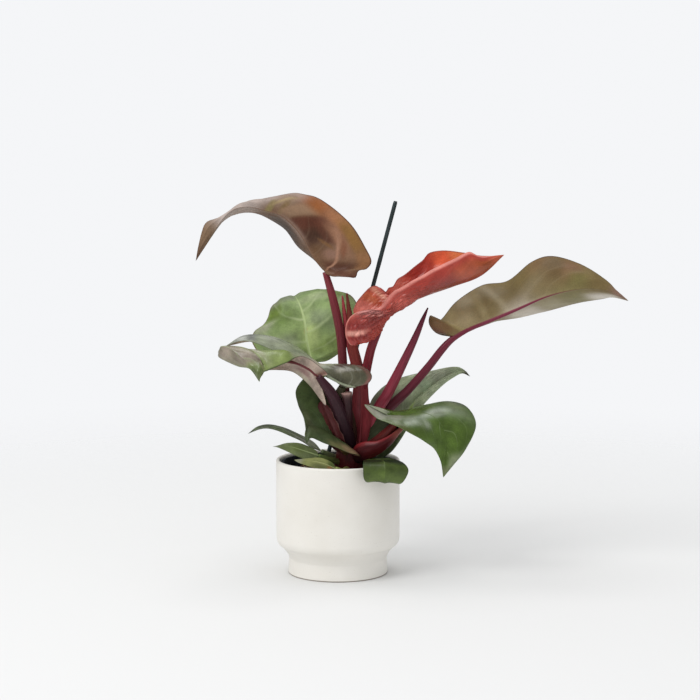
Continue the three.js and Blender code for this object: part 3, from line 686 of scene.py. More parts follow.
def leaf_skin(name, leaf, vein, rib, edge, width=0.09, vein_share=0.45, fine=0.12, roughness=0.36,
              coat=0.2, mottle=0.25, relief=0.5, crumple=0.0):
    """One side of a blade: its painted colour, mottled, with side veins, midrib and thin margin,
    and sharp little creases near the base where it is crumpled."""
    made, tree, shader = material(name, roughness, coat, specular=0.2)
    base = node(tree, "ShaderNodeAttribute", {"attribute_name": "tint"}).outputs["Color"]
    lines = node(tree, "ShaderNodeGroup", {"node_tree": side_veins}, Count=leaf["veins"],
                 Sweep=leaf["sweep"], Width=width)
    cloud = ramp(tree, speckle(tree, 90, detail=7), [(0.3, 1 - mottle), (0.7, 1 + mottle)])
    mottled = mixed(tree, 1.0, base, cloud, "MULTIPLY")
    dots = ramp(tree, speckle(tree, 900, detail=2), [(0.35, 0.88), (0.65, 1.08)])
    mottled = mixed(tree, 1.0, mottled, dots, "MULTIPLY")
    thin_lines = math_node(tree, "MULTIPLY", lines.outputs["Fine Veins"], fine)
    wide_lines = math_node(tree, "MULTIPLY", lines.outputs["Veins"], vein_share)
    from_rib = node(tree, "ShaderNodeAttribute", {"attribute_name": "rib_share"}).outputs["Fac"]
    shade = mixed(tree, thin_lines, mottled, vein)
    shade = mixed(tree, wide_lines, shade, vein)
    shade = mixed(tree, ramp(tree, from_rib, [(0.45, 1.0), (0.8, 0.0)]), shade, rib)
    on_edge = ramp(tree, lines.outputs["Out"], [(0.972, 0.0), (0.99, 0.85)])
    shade = mixed(tree, on_edge, shade, edge)
    pores = math_node(tree, "MULTIPLY", speckle(tree, 1500, detail=2), 0.25)
    height = math_node(tree, "ADD", lines.outputs["Veins"], thin_lines)
    height = math_node(tree, "ADD", height, pores)
    if crumple:
        skin = node(tree, "ShaderNodeUVMap", {"uv_map": "skin"}).outputs["UV"]
        along = node(tree, "ShaderNodeSeparateXYZ", Vector=skin).outputs["Y"]
        near_base = ramp(tree, along, [(0.4, crumple), (0.68, 0.0)])
        away = math_node(tree, "SUBTRACT", speckle(tree, 75, detail=3), 0.5)
        crease = math_node(tree, "MULTIPLY", math_node(tree, "ABSOLUTE", away), -12.0)
        height = math_node(tree, "MULTIPLY_ADD", crease, near_base, height)
    dressed(tree, shader, shade, height, relief, 0.0005)
    return made


# Open sheaths. The feet of three stalks are open sheaths that clasp the next one: a crimson one in
# the middle, a boat-shaped one under the right front leaf, and a dry wrinkled one on the left.
OPEN_SHEATH = {
    "node": "stems_and_sheaths", "slot": "stems", "upper": -1, "slip": 1, "quilt": 0, "ripples": 3,
    "veins": 9, "sweep": 0.25, "rib_width": 2.2, "rib_depth": 0.3,
}
CRIMSON_SHEATH = {
    **OPEN_SHEATH, "camber": (3, 3), "ripple": 0.3,
    "rib": [(23, -20, 134), (25, -20, 155), (26, -18, 177), (26, -15, 199), (26, -12, 217),
            (27, -9, 234)],
    "a": [(16, -14, 142), (13, -11, 159), (14, -9, 181), (16, -7, 200), (19, -6, 221)],
    "b": [(32, -13, 144), (36, -10, 162), (38, -8, 181), (35, -6, 200), (33, -5, 220)],
}
BOAT_SHEATH = {
    **OPEN_SHEATH, "camber": (-5, -4), "ripple": 0.3,
    "rib": [(14, -16, 128), (27, -27, 131), (43, -33, 139), (58, -36, 151), (69, -38, 165),
            (78, -38, 175)],
    "a": [(18, -24, 147), (29, -30, 154), (43, -35, 156), (56, -39, 162), (66, -41, 170), (72, -41, 176)],
    "b": [(23, -4, 157), (32, -4, 175), (43, -10, 184), (55, -18, 186), (66, -28, 183), (74, -34, 179)],
}
DRY_SHEATH = {
    **OPEN_SHEATH, "camber": (3, 3), "ripple": 0.8, "ripples": 5,
    "crinkle": (1.2, 0.3, 0.5, 0.5),
    "rib": [(7, -20, 136), (0, -31, 156), (-7, -37, 175), (-14, -38, 191), (-18, -38, 202)],
    "a": [(-4, -16, 143), (-13, -26, 160), (-20, -32, 179), (-22, -34, 195)],
    "b": [(11, -24, 146), (6, -34, 161), (-1, -40, 178), (-10, -41, 196)],
}

CRIMSON = ("#84353a", [
    (0.2, -0.4, 0.2, 0.4, "#5e2226"), (0.35, 0.5, 0.15, 0.3, "#a3434a"),
    (0.6, -0.3, 0.2, 0.3, "#97434a"), (0.0, 0.0, 0.12, 2.0, "#3c1a1e"),
])
DRIED = ("#562829", [(0.5, 0.97, 0.4, 0.03, "#8f7468"), (0.5, -0.5, 0.3, 0.2, "#6a3432")])

blade("crimson_sheath", CRIMSON_SHEATH, stalk_skin, CRIMSON, stalk_skin, CRIMSON, grid=SMALL_GRID)
blade(
    "boat_sheath", BOAT_SHEATH,
    stalk_skin,
    ("#453430", [(0.5, 0.6, 0.3, 0.4, "#3d4430")]),
    stalk_skin,
    ("#4a1216", [
        (0.5, -0.95, 0.4, 0.14, "#84282c"), (0.85, -0.5, 0.12, 0.8, "#7c3a30"),
        (0.15, 0.0, 0.15, 0.8, "#2c1416"),
    ]),
    grid=SMALL_GRID,
)
blade("dry_sheath", DRY_SHEATH, stalk_skin, DRIED, stalk_skin, DRIED, grid=SMALL_GRID)


# Upper left leaf. The largest and oldest bronze blade, arched over to the left with its tip hanging
# down. Its under side faces the front, olive and orange-brown where light shines through, with painted
# pinkish grey sheen towards the tip and a painted shadow below a fold near the stalk.
UPPER_LEFT = {
    "slot": "bronze_leaf", "upper": 1, "camber": (-8, -3), "slip": 1.5, "quilt": 0.7, "ripple": 1.2,
    "ripples": 2.5, "veins": 8, "sweep": 0.3, "rib_width": 1.7,
    "dents": [(0.34, -0.32, 0.1, 0.3, 5), (0.52, -0.35, 0.07, 0.4, -3), (0.16, -0.6, 0.05, 0.3, 3)],
    "rib": [(-14, 10, 342), (-27, 12, 357), (-38, 14, 375), (-48, 16, 390), (-62, 18, 404),
            (-82, 18, 410), (-104, 15, 414), (-123, 10, 407), (-141, 5, 384), (-159, 0, 354)],
    "a": [(-1, 2, 338), (11, -2, 337), (20, -4, 336), (23, -5, 343), (32, -5, 345), (38, -3, 354),
          (32, 4, 368), (14, 14, 395), (-18, 26, 420), (-37, 29, 427), (-56, 30, 429), (-97, 25, 420),
          (-120, 18, 407), (-136, 14, 400), (-147, 10, 396), (-152, 6, 386), (-157, 3, 368)],
    "b": [(-2, 32, 339), (-18, 48, 350), (-45, 53, 365), (-65, 50, 390), (-98, 38, 408), (-131, 23, 397),
          (-151, 9, 369)],
}
blade(
    "blade_upper_left", UPPER_LEFT,
    leaf_skin("bronze_green_upper", UPPER_LEFT, "#8d8f58", "#a86a5a", "#5e2f28", vein_share=0.3),
    ("#5f5a35", [(0.8, 0.0, 0.3, 1.2, "#6b4f35"), (0.2, -0.5, 0.2, 0.8, "#6a5a3a")]),
    leaf_skin("bronze_underside", UPPER_LEFT, "#b59a80", "#7d604e", "#5c3a2c", width=0.08, vein_share=0.1,
              fine=0.02, roughness=0.5, coat=0.08, mottle=0.1, relief=0.3, crumple=0.5),
    # Painted light on the under side: the crisp dark patch and the dark patches near the base are a
    # painted shadow under the fold, the lighter patch above its edge and the orange patches at the margin
    # are painted light shining through, the pinkish grey patches near the tip are painted sheen, and the
    # pale patch on the far half beside the rib is a painted highlight, with painted shade beyond it.
    ("#765740", [
        (0.9, 0.0, 0.09, 2.0, "#826850"), (1.0, 0.0, 0.05, 2.0, "#5e4636"),
        (0.78, -0.3, 0.07, 1.2, "#b8aaa2"), (0.7, -0.3, 0.07, 1.0, "#b0a198"),
        (0.62, -0.8, 0.08, 0.5, "#a3938a"), (0.55, -0.9, 0.07, 0.3, "#a08d82"),
        (0.6, -0.2, 0.015, 0.3, "#8a7c4e", 2.0), (0.56, -0.5, 0.04, 0.3, "#8c745e"),
        (0.545, -0.2, 0.012, 0.3, "#7a6240", 2.0), (0.49, -0.38, 0.035, 0.32, "#98795f", 2.5, 0.13),
        (0.46, -0.84, 0.06, 0.24, "#8f5428"), (0.36, -0.8, 0.06, 0.12, "#8a5a40"),
        (0.37, -0.88, 0.05, 0.15, "#a06c48"), (0.378, -0.36, 0.075, 0.34, "#613525", 6.0, 0.13),
        (0.34, -0.2, 0.06, 0.2, "#4a2f21", 2.0), (0.33, -0.48, 0.05, 0.13, "#5a3626"),
        (0.27, -0.18, 0.035, 0.14, "#66482f"), (0.3, -0.64, 0.08, 0.12, "#946a50"),
        (0.23, -0.36, 0.03, 0.16, "#8a6552"), (0.29, -0.88, 0.07, 0.12, "#8a6434", 2.0),
        (0.19, -0.9, 0.04, 0.15, "#8e6440"), (0.15, -0.45, 0.04, 0.32, "#583423", 2.5),
        (0.1, -0.75, 0.03, 0.4, "#704838"), (0.19, -0.385, 0.013, 0.24, "#a4785f", 1.5, -0.47),
        (0.29, -0.35, 0.015, 0.1, "#77522f", 2.0, 0.3), (0.57, -0.45, 0.012, 0.25, "#a08a66", 2.0, 0.15),
        (0.25, -0.62, 0.02, 0.1, "#7c5038", 2.0, -0.3), (0.44, 0.06, 0.1, 0.1, "#ab8f80"),
        (0.45, 0.5, 0.13, 0.45, "#54463e"),
    ]),
)


# New red leaf. The youngest blade, still soft: its two halves are folded up along the rib, the near
# one rolled outwards, and its base is crumpled like tissue where it came out of the sheath.
RED_NEW = {
    "slot": "new_leaf", "upper": -1, "camber": (-8, -8), "slip": 1.5, "quilt": 0.5, "ripple": 1.0,
    "ripples": 4, "veins": 9, "sweep": 0.3, "rib_width": 1.8, "crinkle": (4.2, 0.13, 0.34, 0.2),
    "rib": [(48, -18, 287), (63, -21, 298), (89, -25, 314), (127, -28, 328), (158, -30, 340),
            (184, -30, 363)],
    "a": [(28, -28, 275), (24, -32, 265), (15, -36, 263), (9, -38, 273), (9, -38, 285), (13, -38, 294),
          (21, -39, 300), (32, -40, 303), (45, -41, 305), (53, -42, 314), (61, -42, 323), (70, -43, 328),
          (81, -44, 335), (92, -44, 341), (104, -44, 348), (119, -43, 355), (130, -42, 360),
          (139, -40, 365), (146, -38, 367), (156, -36, 363), (169, -33, 362)],
    "b": [(29, -12, 296), (18, -6, 297), (19, -2, 304), (23, 0, 311), (32, 2, 321), (37, 2, 325),
          (43, 2, 326), (48, 2, 323), (53, 1, 319), (57, 0, 324), (62, 0, 326), (67, 0, 334),
          (75, 0, 339), (86, 0, 348), (95, 0, 355), (102, -1, 363), (114, -3, 366), (127, -6, 366),
          (141, -12, 364), (158, -20, 361)],
}
blade(
    "blade_red_new", RED_NEW,
    leaf_skin("orange_red_inside", RED_NEW, "#e2704a", "#d98a72", "#8a2c22", vein_share=0.12,
              roughness=0.34, coat=0.3, mottle=0.14, crumple=0.6),
    # The bright orange towards the far end of the inner face is painted light shining through the thin
    # leaf.
    ("#b84634", [
        (0.78, 0.85, 0.09, 0.4, "#ee8d58"), (0.68, 0.8, 0.06, 0.4, "#e4623c"),
        (0.6, 0.85, 0.05, 0.5, "#b03626"), (0.54, 0.8, 0.05, 0.6, "#98281e"),
        (0.44, 0.95, 0.04, 0.3, "#bc6052"), (0.33, 0.75, 0.05, 0.5, "#c0655a"),
        (0.29, 0.8, 0.014, 0.3, "#d9947c"), (0.24, 0.85, 0.03, 0.3, "#b8603f"),
        (0.18, 0.8, 0.04, 0.4, "#d57a6c"),
    ]),
    # The pale pink margin colour of the outer side is a painted highlight along its rolled edge.
    leaf_skin("pink_red_outside", RED_NEW, "#e0958a", "#8c3a34", "#cf8074", width=0.1, vein_share=0.1,
              roughness=0.32, coat=0.35, mottle=0.14, crumple=1.0),
    # On the outer side the pale pink band along the rolled margin and the small bright streaks on the
    # crumpled lobe are painted highlights, and the dark streaks beside them are painted shade in the
    # folds.
    ("#a63c32", [
        (0.7, -0.98, 0.28, 0.055, "#ee988c"), (0.42, -0.98, 0.1, 0.06, "#de867c"),
        (0.7, -0.3, 0.22, 0.35, "#8e3a32"), (0.9, -0.4, 0.1, 0.35, "#9c4a26", 2.5),
        (0.97, -0.3, 0.04, 1.0, "#b8573c"), (0.36, -0.9, 0.04, 0.2, "#cf8a84"),
        (0.36, -0.45, 0.05, 0.3, "#944640"), (0.28, -0.6, 0.05, 0.3, "#a84a44"),
        (0.48, -0.6, 0.05, 0.3, "#c45a4e"), (0.8, -0.5, 0.06, 0.3, "#b4563a"),
        (0.26, -0.8, 0.02, 0.3, "#963632"), (0.228, -0.83, 0.012, 0.2, "#f2ac9c"),
        (0.205, -0.8, 0.01, 0.25, "#8c2c2a"), (0.17, -0.9, 0.03, 0.3, "#a84440"),
        (0.3, -0.4, 0.02, 0.2, "#8a302c"), (0.34, -0.62, 0.012, 0.12, "#e0948a", 1.5, 0.2),
    ]),
    grid=(190, 121),
)


# Right leaf. A long taupe blade that reaches far to the right on the longest stalk. It shows its
# khaki under side, with a purple midrib, a curled basal lobe and a thin drip tip.
RIGHT = {
    "slot": "bronze_leaf", "upper": -1, "camber": (-6, -3), "slip": 1.5, "quilt": 0.3, "ripple": 0.4,
    "ripples": 2.5, "veins": 9, "sweep": 0.3, "rib_width": 4.6, "rib_depth": 1.8,
    "rib": [(128, -12, 270), (159, -12, 283), (194, -14, 298), (234, -16, 316), (270, -14, 324),
            (297, -12, 323), (314, -10, 317), (325, -9, 310)],
    "a": [(115, -8, 272), (107, -10, 277), (102, -9, 285), (103, -6, 293), (107, -1, 292), (113, 2, 287),
          (118, 5, 290), (134, 12, 308), (163, 18, 325), (192, 20, 330), (218, 16, 352), (241, 12, 359),
          (272, 7, 350), (300, 1, 333), (312, -5, 321)],
    "b": [(131, 8, 270), (159, 22, 282), (185, 32, 289), (208, 36, 288), (236, 37, 294), (270, 32, 303),
          (297, 20, 309), (310, 6, 313)],
}
blade(
    "blade_right", RIGHT,
    leaf_skin("dark_bronze_upper", RIGHT, "#6f7148", "#96586a", "#4f2a2a", vein_share=0.25),
    ("#4c5231", [(0.7, 0.5, 0.3, 0.6, "#8d9078"), (0.1, -0.6, 0.1, 0.6, "#6a5a35")]),
    leaf_skin("taupe_underside", RIGHT, "#a39473", "#7d3145", "#4f3632", width=0.06, vein_share=0.2,
              fine=0.08, roughness=0.5, coat=0.08, mottle=0.08, relief=0.3),
    # On the under side the pale patches of the far half below the rib, and the lighter streaks on the
    # basal third, are painted sheen.
    ("#7d6c46", [
        (0.03, -0.9, 0.03, 0.25, "#4c4a46"), (0.08, -0.75, 0.04, 0.4, "#6f4c3c"),
        (0.12, -0.55, 0.03, 0.4, "#7a5c3c"), (0.17, -0.5, 0.025, 0.5, "#9c8b5a"),
        (0.22, -0.75, 0.04, 0.4, "#a5966a"), (0.24, -0.3, 0.07, 0.3, "#a08f6a"),
        (0.31, -0.85, 0.05, 0.3, "#a39676"), (0.35, -0.5, 0.02, 0.6, "#94845c"),
        (0.43, -0.5, 0.02, 1.0, "#9a8c6c", 1.0, 0.1), (0.55, -0.5, 0.08, 0.9, "#70603a"),
        (0.64, -0.9, 0.06, 0.3, "#765c3c"), (0.7, -0.65, 0.06, 0.4, "#66502e"),
        (0.76, -0.6, 0.04, 0.4, "#7a5a40"), (0.8, -0.3, 0.06, 0.3, "#746a3c"),
        (0.88, -0.4, 0.06, 0.5, "#76643e"), (0.96, -0.3, 0.04, 1.0, "#86685a"),
        (0.52, 0.5, 0.08, 0.6, "#c8beae"), (0.65, 0.5, 0.06, 0.5, "#9a9072"),
        (0.76, 0.5, 0.07, 0.6, "#7e764c"), (0.88, 0.62, 0.08, 0.36, "#cfc7ba", 2.0),
    ]),
)


# Back left leaf. A broad heart-shaped blade behind the stalks, seen from below: thin and light
# green, with pale yellowish veins and a small red mark where the stalk joins the rib.
BACK_LEFT = {
    "upper": 1, "camber": (-4, -4), "slip": 1.3, "quilt": 0.9, "ripple": 1.6, "ripples": 3, "veins": 6,
    "sweep": 0.22, "rib_width": 3.8,
    "rib": [(-30, 48, 234), (-36, 52, 259), (-39, 60, 282), (-47, 80, 302), (-55, 110, 302),
            (-68, 144, 266)],
    "a": [(-8, 44, 239), (15, 42, 257), (27, 46, 281), (16, 66, 309), (-6, 92, 314), (-32, 118, 307),
          (-54, 140, 292)],
    "b": [(-53, 43, 227), (-83, 40, 238), (-98, 43, 256), (-97, 48, 268), (-86, 54, 275), (-81, 60, 283),
          (-78, 69, 296), (-73, 82, 301), (-61, 100, 301), (-66, 138, 279)],
}
blade(
    "blade_back_left", BACK_LEFT,
    leaf_skin("fresh_green_upper", BACK_LEFT, "#8fa868", "#b5c48c", "#5c5a34", vein_share=0.45),
    ("#48692c", [(0.8, 0.0, 0.2, 1.5, "#56713a")]),
    leaf_skin("pale_green_underside", BACK_LEFT, "#b6c494", "#adbf84", "#6e5a44", width=0.1,
              vein_share=0.65, fine=0.05, roughness=0.48, coat=0.08),
    ("#82975f", [
        (0.2, -0.4, 0.1, 0.5, "#7c8f50"), (0.3, -0.1, 0.14, 0.16, "#a5b673"),
        (0.34, -0.5, 0.06, 0.3, "#667848"), (0.4, -0.25, 0.05, 0.2, "#809064"),
        (0.55, -0.35, 0.04, 0.4, "#9caa7c"), (0.48, -0.9, 0.08, 0.2, "#707f46"),
        (0.32, 0.0, 0.02, 0.03, "#a8503c"), (0.36, 0.3, 0.06, 0.3, "#90a668"),
        (0.28, 0.5, 0.06, 0.3, "#8a9474"), (0.45, 0.5, 0.06, 0.25, "#6c8244"),
        (0.53, 0.78, 0.07, 0.2, "#617628", 2.5), (0.42, 0.85, 0.05, 0.2, "#94997c"),
        (0.6, 0.9, 0.04, 0.3, "#767b60"), (0.62, 0.35, 0.04, 0.3, "#8a9278"),
        (0.75, 0.2, 0.12, 0.6, "#8a9674"),
    ]),
)


# Left rear leaf. A narrow blade that lies nearly level and reaches left, green and glossy with a
# painted grey sheen, with raised streaks along it and a round basal lobe that spreads over the stalks.
LEFT_REAR = {
    "upper": -1, "camber": (2, 1), "slip": 1.3, "quilt": 0.5, "ripple": 0.5, "ripples": 3, "veins": 7,
    "sweep": 0.55, "rib_width": 1.8, "rib_depth": 0.8,
    "rib": [(7, -36, 215), (-8, -37, 228), (-30, -36, 241), (-56, -34, 257), (-91, -30, 267),
            (-125, -26, 261)],
    "a": [(21, -36, 217), (33, -35, 220), (38, -32, 227), (34, -27, 234), (23, -20, 239), (3, -15, 240),
          (-13, -14, 237), (-24, -12, 242), (-39, -4, 253), (-55, 0, 263), (-76, -2, 270),
          (-105, -12, 271)],
    "b": [(21, -42, 217), (8, -45, 219), (-15, -40, 229), (-42, -38, 243), (-68, -37, 256),
          (-100, -34, 268)],
}
blade(
    "blade_left_rear", LEFT_REAR,
    leaf_skin("grey_green_sheen", LEFT_REAR, "#b0b4a4", "#98a08c", "#5c5a4c", vein_share=0.08,
              roughness=0.24, coat=0.5, fine=0.05),
    # The pale grey patches along the upper side are painted sheen, and the small pale spot on the lobe a
    # painted highlight.
    ("#8d947c", [
        (0.9, -0.4, 0.06, 1.0, "#a9aba3"), (0.84, -0.5, 0.025, 1.0, "#84867f"),
        (0.74, -0.6, 0.05, 0.4, "#a4a896"), (0.57, -0.5, 0.05, 0.6, "#7c846a"),
        (0.43, -0.3, 0.07, 0.7, "#a3998a"), (0.19, -0.5, 0.13, 0.9, "#565442", 2.5),
        (0.3, -0.75, 0.03, 0.4, "#51453e"), (0.25, -0.45, 0.025, 0.2, "#8a867a"),
        (0.12, -0.95, 0.05, 0.08, "#8a5a54"), (0.22, -0.95, 0.06, 0.08, "#6e4c44"),
    ]),
    leaf_skin("grey_green_underside", LEFT_REAR, "#9aa488", "#8a6a66", "#4d4a3e", vein_share=0.35,
              roughness=0.45, coat=0.1),
    ("#a3937f", [(0.15, 0.2, 0.15, 0.8, "#8d7468")]),
)


# Left front leaf. A wide blade folded over to the front, so that its pinkish grey under side shows
# near the stalk and its green upper side on the part that hangs over, down to a drip tip.
LEFT_FRONT = {
    "upper": 1, "camber": (11, 2), "slip": 1, "matched": True, "quilt": 0.4, "ripple": 0.3, "ripples": 2,
    "veins": 8, "sweep": 0.3, "rib_width": 3.2, "rib_depth": 0.9,
    "rib": [(-21, -54, 231), (-25, -54, 233), (-32, -55, 239), (-44, -56, 245), (-60, -57, 248),
            (-78, -58, 251), (-100, -58, 254), (-119, -58, 259), (-127, -66, 265), (-118, -76, 265),
            (-105, -85, 257), (-93, -91, 246), (-84, -95, 230)],
    "a": [(-11, -44, 232), (-24, -42, 244), (-37, -50, 252), (-45, -66, 253), (-54, -76, 249),
          (-63, -82, 246), (-71, -86, 243), (-76, -88, 241), (-79, -90, 240), (-81, -92, 237),
          (-83, -94, 234)],
    "b": [(-13, -50, 198), (-31, -58, 221), (-48, -62, 236), (-66, -63, 239), (-85, -63, 239),
          (-106, -60, 243), (-120, -57, 247), (-130, -62, 253), (-125, -70, 251), (-108, -80, 245),
          (-94, -88, 243)],
}
blade(
    "blade_left_front", LEFT_FRONT,
    leaf_skin("green_with_sheen", LEFT_FRONT, "#9caf7c", "#a9b58c", "#4d5a38", vein_share=0.35,
              roughness=0.28, coat=0.45),
    # The pale grey and pinkish grey patches on the upper side are painted sheen.
    ("#7a8a4c", [
        (0.1, -0.6, 0.03, 0.8, "#6b463c"), (0.1, 0.5, 0.06, 0.9, "#b8a896"),
        (0.2, 0.35, 0.05, 0.3, "#957670"), (0.2, -0.7, 0.05, 0.6, "#c8b8aa"),
        (0.26, 0.7, 0.06, 0.5, "#a39a80"), (0.33, -0.5, 0.04, 0.8, "#8c9078"),
        (0.42, 0.6, 0.06, 0.4, "#768442"), (0.48, -0.4, 0.06, 0.6, "#86935c"),
        (0.58, 0.0, 0.05, 0.8, "#a09a8c"), (0.6, 0.7, 0.08, 0.6, "#8e8478"),
        (0.74, 0.3, 0.08, 1.0, "#978a7e"), (0.84, 0.0, 0.06, 1.0, "#8c8074", 2.0),
        (0.95, 0.0, 0.04, 1.0, "#56603c"),
    ]),
    leaf_skin("pinkish_grey_underside", LEFT_FRONT, "#cfc0b0", "#6a3436", "#5b463c", vein_share=0.3,
              roughness=0.48, coat=0.1),
    ("#c4b3a4", [
        (0.1, -0.6, 0.02, 0.8, "#8a6458"), (0.2, 0.35, 0.05, 0.3, "#957670"),
        (0.2, 0.9, 0.05, 0.3, "#a8a08c"), (0.6, 0.6, 0.15, 0.8, "#8e8478"),
    ]),
)


# Low dark leaf. An old blade that stands upright left of the crown and sweeps forward over the
# stalk bases, deep green, with a tan and reddish lower edge.
LOW_DARK = {
    "upper": -1, "camber": (3, 2), "slip": 1.7, "quilt": 0.4, "ripple": 0.8, "ripples": 3, "veins": 7,
    "sweep": 0.3, "rib_width": 1.8,
    "rib": [(0, -27, 152), (-7, -31, 162), (-20, -39, 172), (-32, -49, 175), (-36, -59, 166),
            (-34, -64, 158)],
    "a": [(0, -16, 177), (-6, -14, 197), (-18, -16, 217), (-33, -22, 227), (-46, -34, 214),
          (-44, -42, 198), (-37, -52, 182)],
    "b": [(14, -30, 141), (25, -33, 138), (8, -45, 146), (-12, -52, 155), (-28, -60, 163)],
}
blade(
    "blade_low_dark", LOW_DARK,
    leaf_skin("deep_green_upper", LOW_DARK, "#4f6b3c", "#6c7f4c", "#3c4a2a", vein_share=0.3,
              roughness=0.4),
    ("#434f30", [
        (0.62, -0.6, 0.1, 0.5, "#4f5e38"), (0.78, -0.2, 0.08, 0.6, "#565c40"),
        (0.4, 0.9, 0.14, 0.25, "#8a7458"), (0.6, 0.92, 0.1, 0.2, "#6c6a44"),
        (0.28, 0.8, 0.06, 0.5, "#6e4238"),
    ]),
    leaf_skin("tan_green_underside", LOW_DARK, "#8f8a5c", "#8a6a50", "#5a4630", vein_share=0.3,
              roughness=0.48, coat=0.1),
    ("#55603a", [(0.2, 0.9, 0.2, 0.4, "#7a4a3c"), (0.35, 0.9, 0.1, 0.3, "#97765a")]),
)


# Right front leaf. The nearest full-grown blade, arched over the rim to the right: bright glossy
# green with pale veins, with a painted grey sheen along its crest and on its pointed basal lobe.
RIGHT_FRONT = {
    "upper": 1, "camber": (4, 3), "slip": 1, "matched": True, "quilt": 0.15, "ripple": 0.4, "ripples": 2,
    "veins": 8, "sweep": 0.3, "rib_width": 1.9,
    "rib": [(67, -38, 180), (68, -38, 181), (69, -39, 181), (71, -39, 183), (75, -41, 185),
            (82, -43, 187), (91, -47, 189), (101, -52, 188), (111, -58, 182), (118, -63, 169),
            (120, -67, 152), (119, -70, 136), (116, -71, 121)],
    "a": [(54, -30, 189), (43, -26, 193), (56, -22, 189), (72, -16, 185), (87, -12, 188), (106, -10, 193),
          (125, -15, 198), (144, -28, 193), (153, -44, 175), (141, -60, 151), (128, -67, 135)],
    "b": [(50, -38, 188), (30, -36, 197), (42, -44, 184), (54, -49, 179), (68, -54, 174), (80, -58, 168),
          (90, -61, 163), (98, -64, 158), (105, -66, 153), (110, -68, 146), (114, -70, 136)],
}

right_front_top = leaf_skin("bright_green_upper", RIGHT_FRONT, "#8fa070", "#56683c", "#6a7a4c",
                            width=0.05, vein_share=0.3, fine=0.05, roughness=0.26, coat=0.5)
right_front_back = leaf_skin("light_green_underside", RIGHT_FRONT, "#9fb07c", "#a3a874", "#5a6640",
                             vein_share=0.4, roughness=0.46, coat=0.1)
blade(
    "blade_right_front", RIGHT_FRONT,
    right_front_top,
    # The grey band along the crest and the pale basal lobe are painted sheen.
    ("#4b6124", [
        (0.16, 0.85, 0.07, 0.35, "#b4ada0", 2.0), (0.25, 0.7, 0.06, 0.45, "#8e9082"),
        (0.35, 0.55, 0.06, 0.35, "#7c806c"), (0.46, 0.42, 0.05, 0.25, "#77806a"),
        (0.59, -0.1, 0.045, 0.62, "#929c8a", 1.0, -0.15), (0.6, 0.62, 0.07, 0.3, "#43551f"),
        (0.45, 0.92, 0.08, 0.12, "#55602c"), (0.63, -0.85, 0.04, 0.3, "#6f7a58"),
        (0.9, -0.6, 0.04, 0.4, "#8e9a72"), (0.96, 0.0, 0.03, 1.0, "#6c744e"),
        (0.75, 0.6, 0.12, 0.5, "#465a24"),
    ]),
    right_front_back,
    ("#7a8a5c", [(0.15, 0.5, 0.15, 0.8, "#9ca08a")]),
)


# Right rear leaf. A tall narrow blade behind the stalks, grey-green with fine raised streaks, a
# dark drawn-out tip to the right and a lower lobe beside the crown, painted dark as shade behind the
# stalks.
RIGHT_REAR = {
    "upper": 1, "camber": (3, 3), "slip": 1.3, "quilt": 0.7, "ripple": 0.7, "ripples": 3, "veins": 9,
    "sweep": 0.5, "rib_width": 1.8,
    "rib": [(57, 22, 159), (73, 26, 177), (98, 34, 201), (124, 41, 219), (142, 44, 225), (152, 44, 218)],
    "a": [(47, 18, 165), (36, 18, 182), (40, 22, 197), (57, 30, 212), (84, 36, 221), (117, 43, 227),
          (137, 44, 229), (146, 45, 224)],
    "b": [(47, 17, 139), (44, 14, 126), (59, 12, 134), (69, 12, 146), (83, 16, 168), (99, 24, 190),
          (119, 34, 208), (132, 40, 217), (142, 43, 222)],
}

right_rear_back = leaf_skin("dull_green_underside", RIGHT_REAR, "#8c9a74", "#8a8a64", "#4a4f38",
                            vein_share=0.35, roughness=0.48, coat=0.1)
blade(
    "blade_right_rear", RIGHT_REAR,
    leaf_skin("streaked_grey_green", RIGHT_REAR, "#9aa68c", "#98a584", "#4a5a3c", vein_share=0.45,
              roughness=0.34, coat=0.3, fine=0.45),
    ("#9eaa88", [
        # The dark green patches on the lower lobe are painted shade behind the stalks.
        (0.3, 0.7, 0.2, 0.5, "#4d5a36"), (0.5, 0.7, 0.1, 0.4, "#5c6a42"),
        (0.44, 0.4, 0.04, 0.35, "#7f9a3e"), (0.3, -0.5, 0.12, 0.6, "#5e5e4a"),
        (0.62, -0.2, 0.06, 0.4, "#9cae8c"), (0.75, -0.4, 0.08, 0.6, "#a3aa90"),
        (0.98, 0.0, 0.04, 2.0, "#5c564c"),
    ]),
    right_rear_back,
    ("#667852", []),
)


# Low thin leaf. A narrow juvenile blade that arches low over the left of the rim, dull green with
# a pale stripe along its midrib.
LOW_THIN = {
    "upper": -1, "camber": (1, 1), "slip": 1.1, "quilt": 0.15, "ripple": 0.2, "ripples": 3, "veins": 9,
    "sweep": 0.5, "rib_width": 1.3, "rib_depth": 0.7,
    "rib": [(-18, -16, 141), (-39, -22, 155), (-67, -28, 170), (-85, -32, 171), (-100, -36, 164)],
    "a": [(-28, -10, 151), (-51, -14, 164), (-74, -20, 172), (-89, -28, 171)],
    "b": [(-29, -22, 146), (-42, -28, 155), (-64, -34, 166), (-82, -35, 170)],
}
blade(
    "blade_low_thin", LOW_THIN,
    leaf_skin("dull_green_striped", LOW_THIN, "#7c9068", "#b9bfa4", "#3f5230", vein_share=0.25,
              roughness=0.3, coat=0.4),
    ("#6c775a", [
        (0.2, 0.0, 0.12, 2.0, "#a3a892"), (0.35, 0.4, 0.08, 0.4, "#a8a99c"),
        (0.8, 0.0, 0.1, 2.0, "#565d48"), (0.97, 0.0, 0.06, 2.0, "#4a4f40"),
    ]),
    right_rear_back,
    ("#72845c", []),
    grid=SMALL_GRID,
)


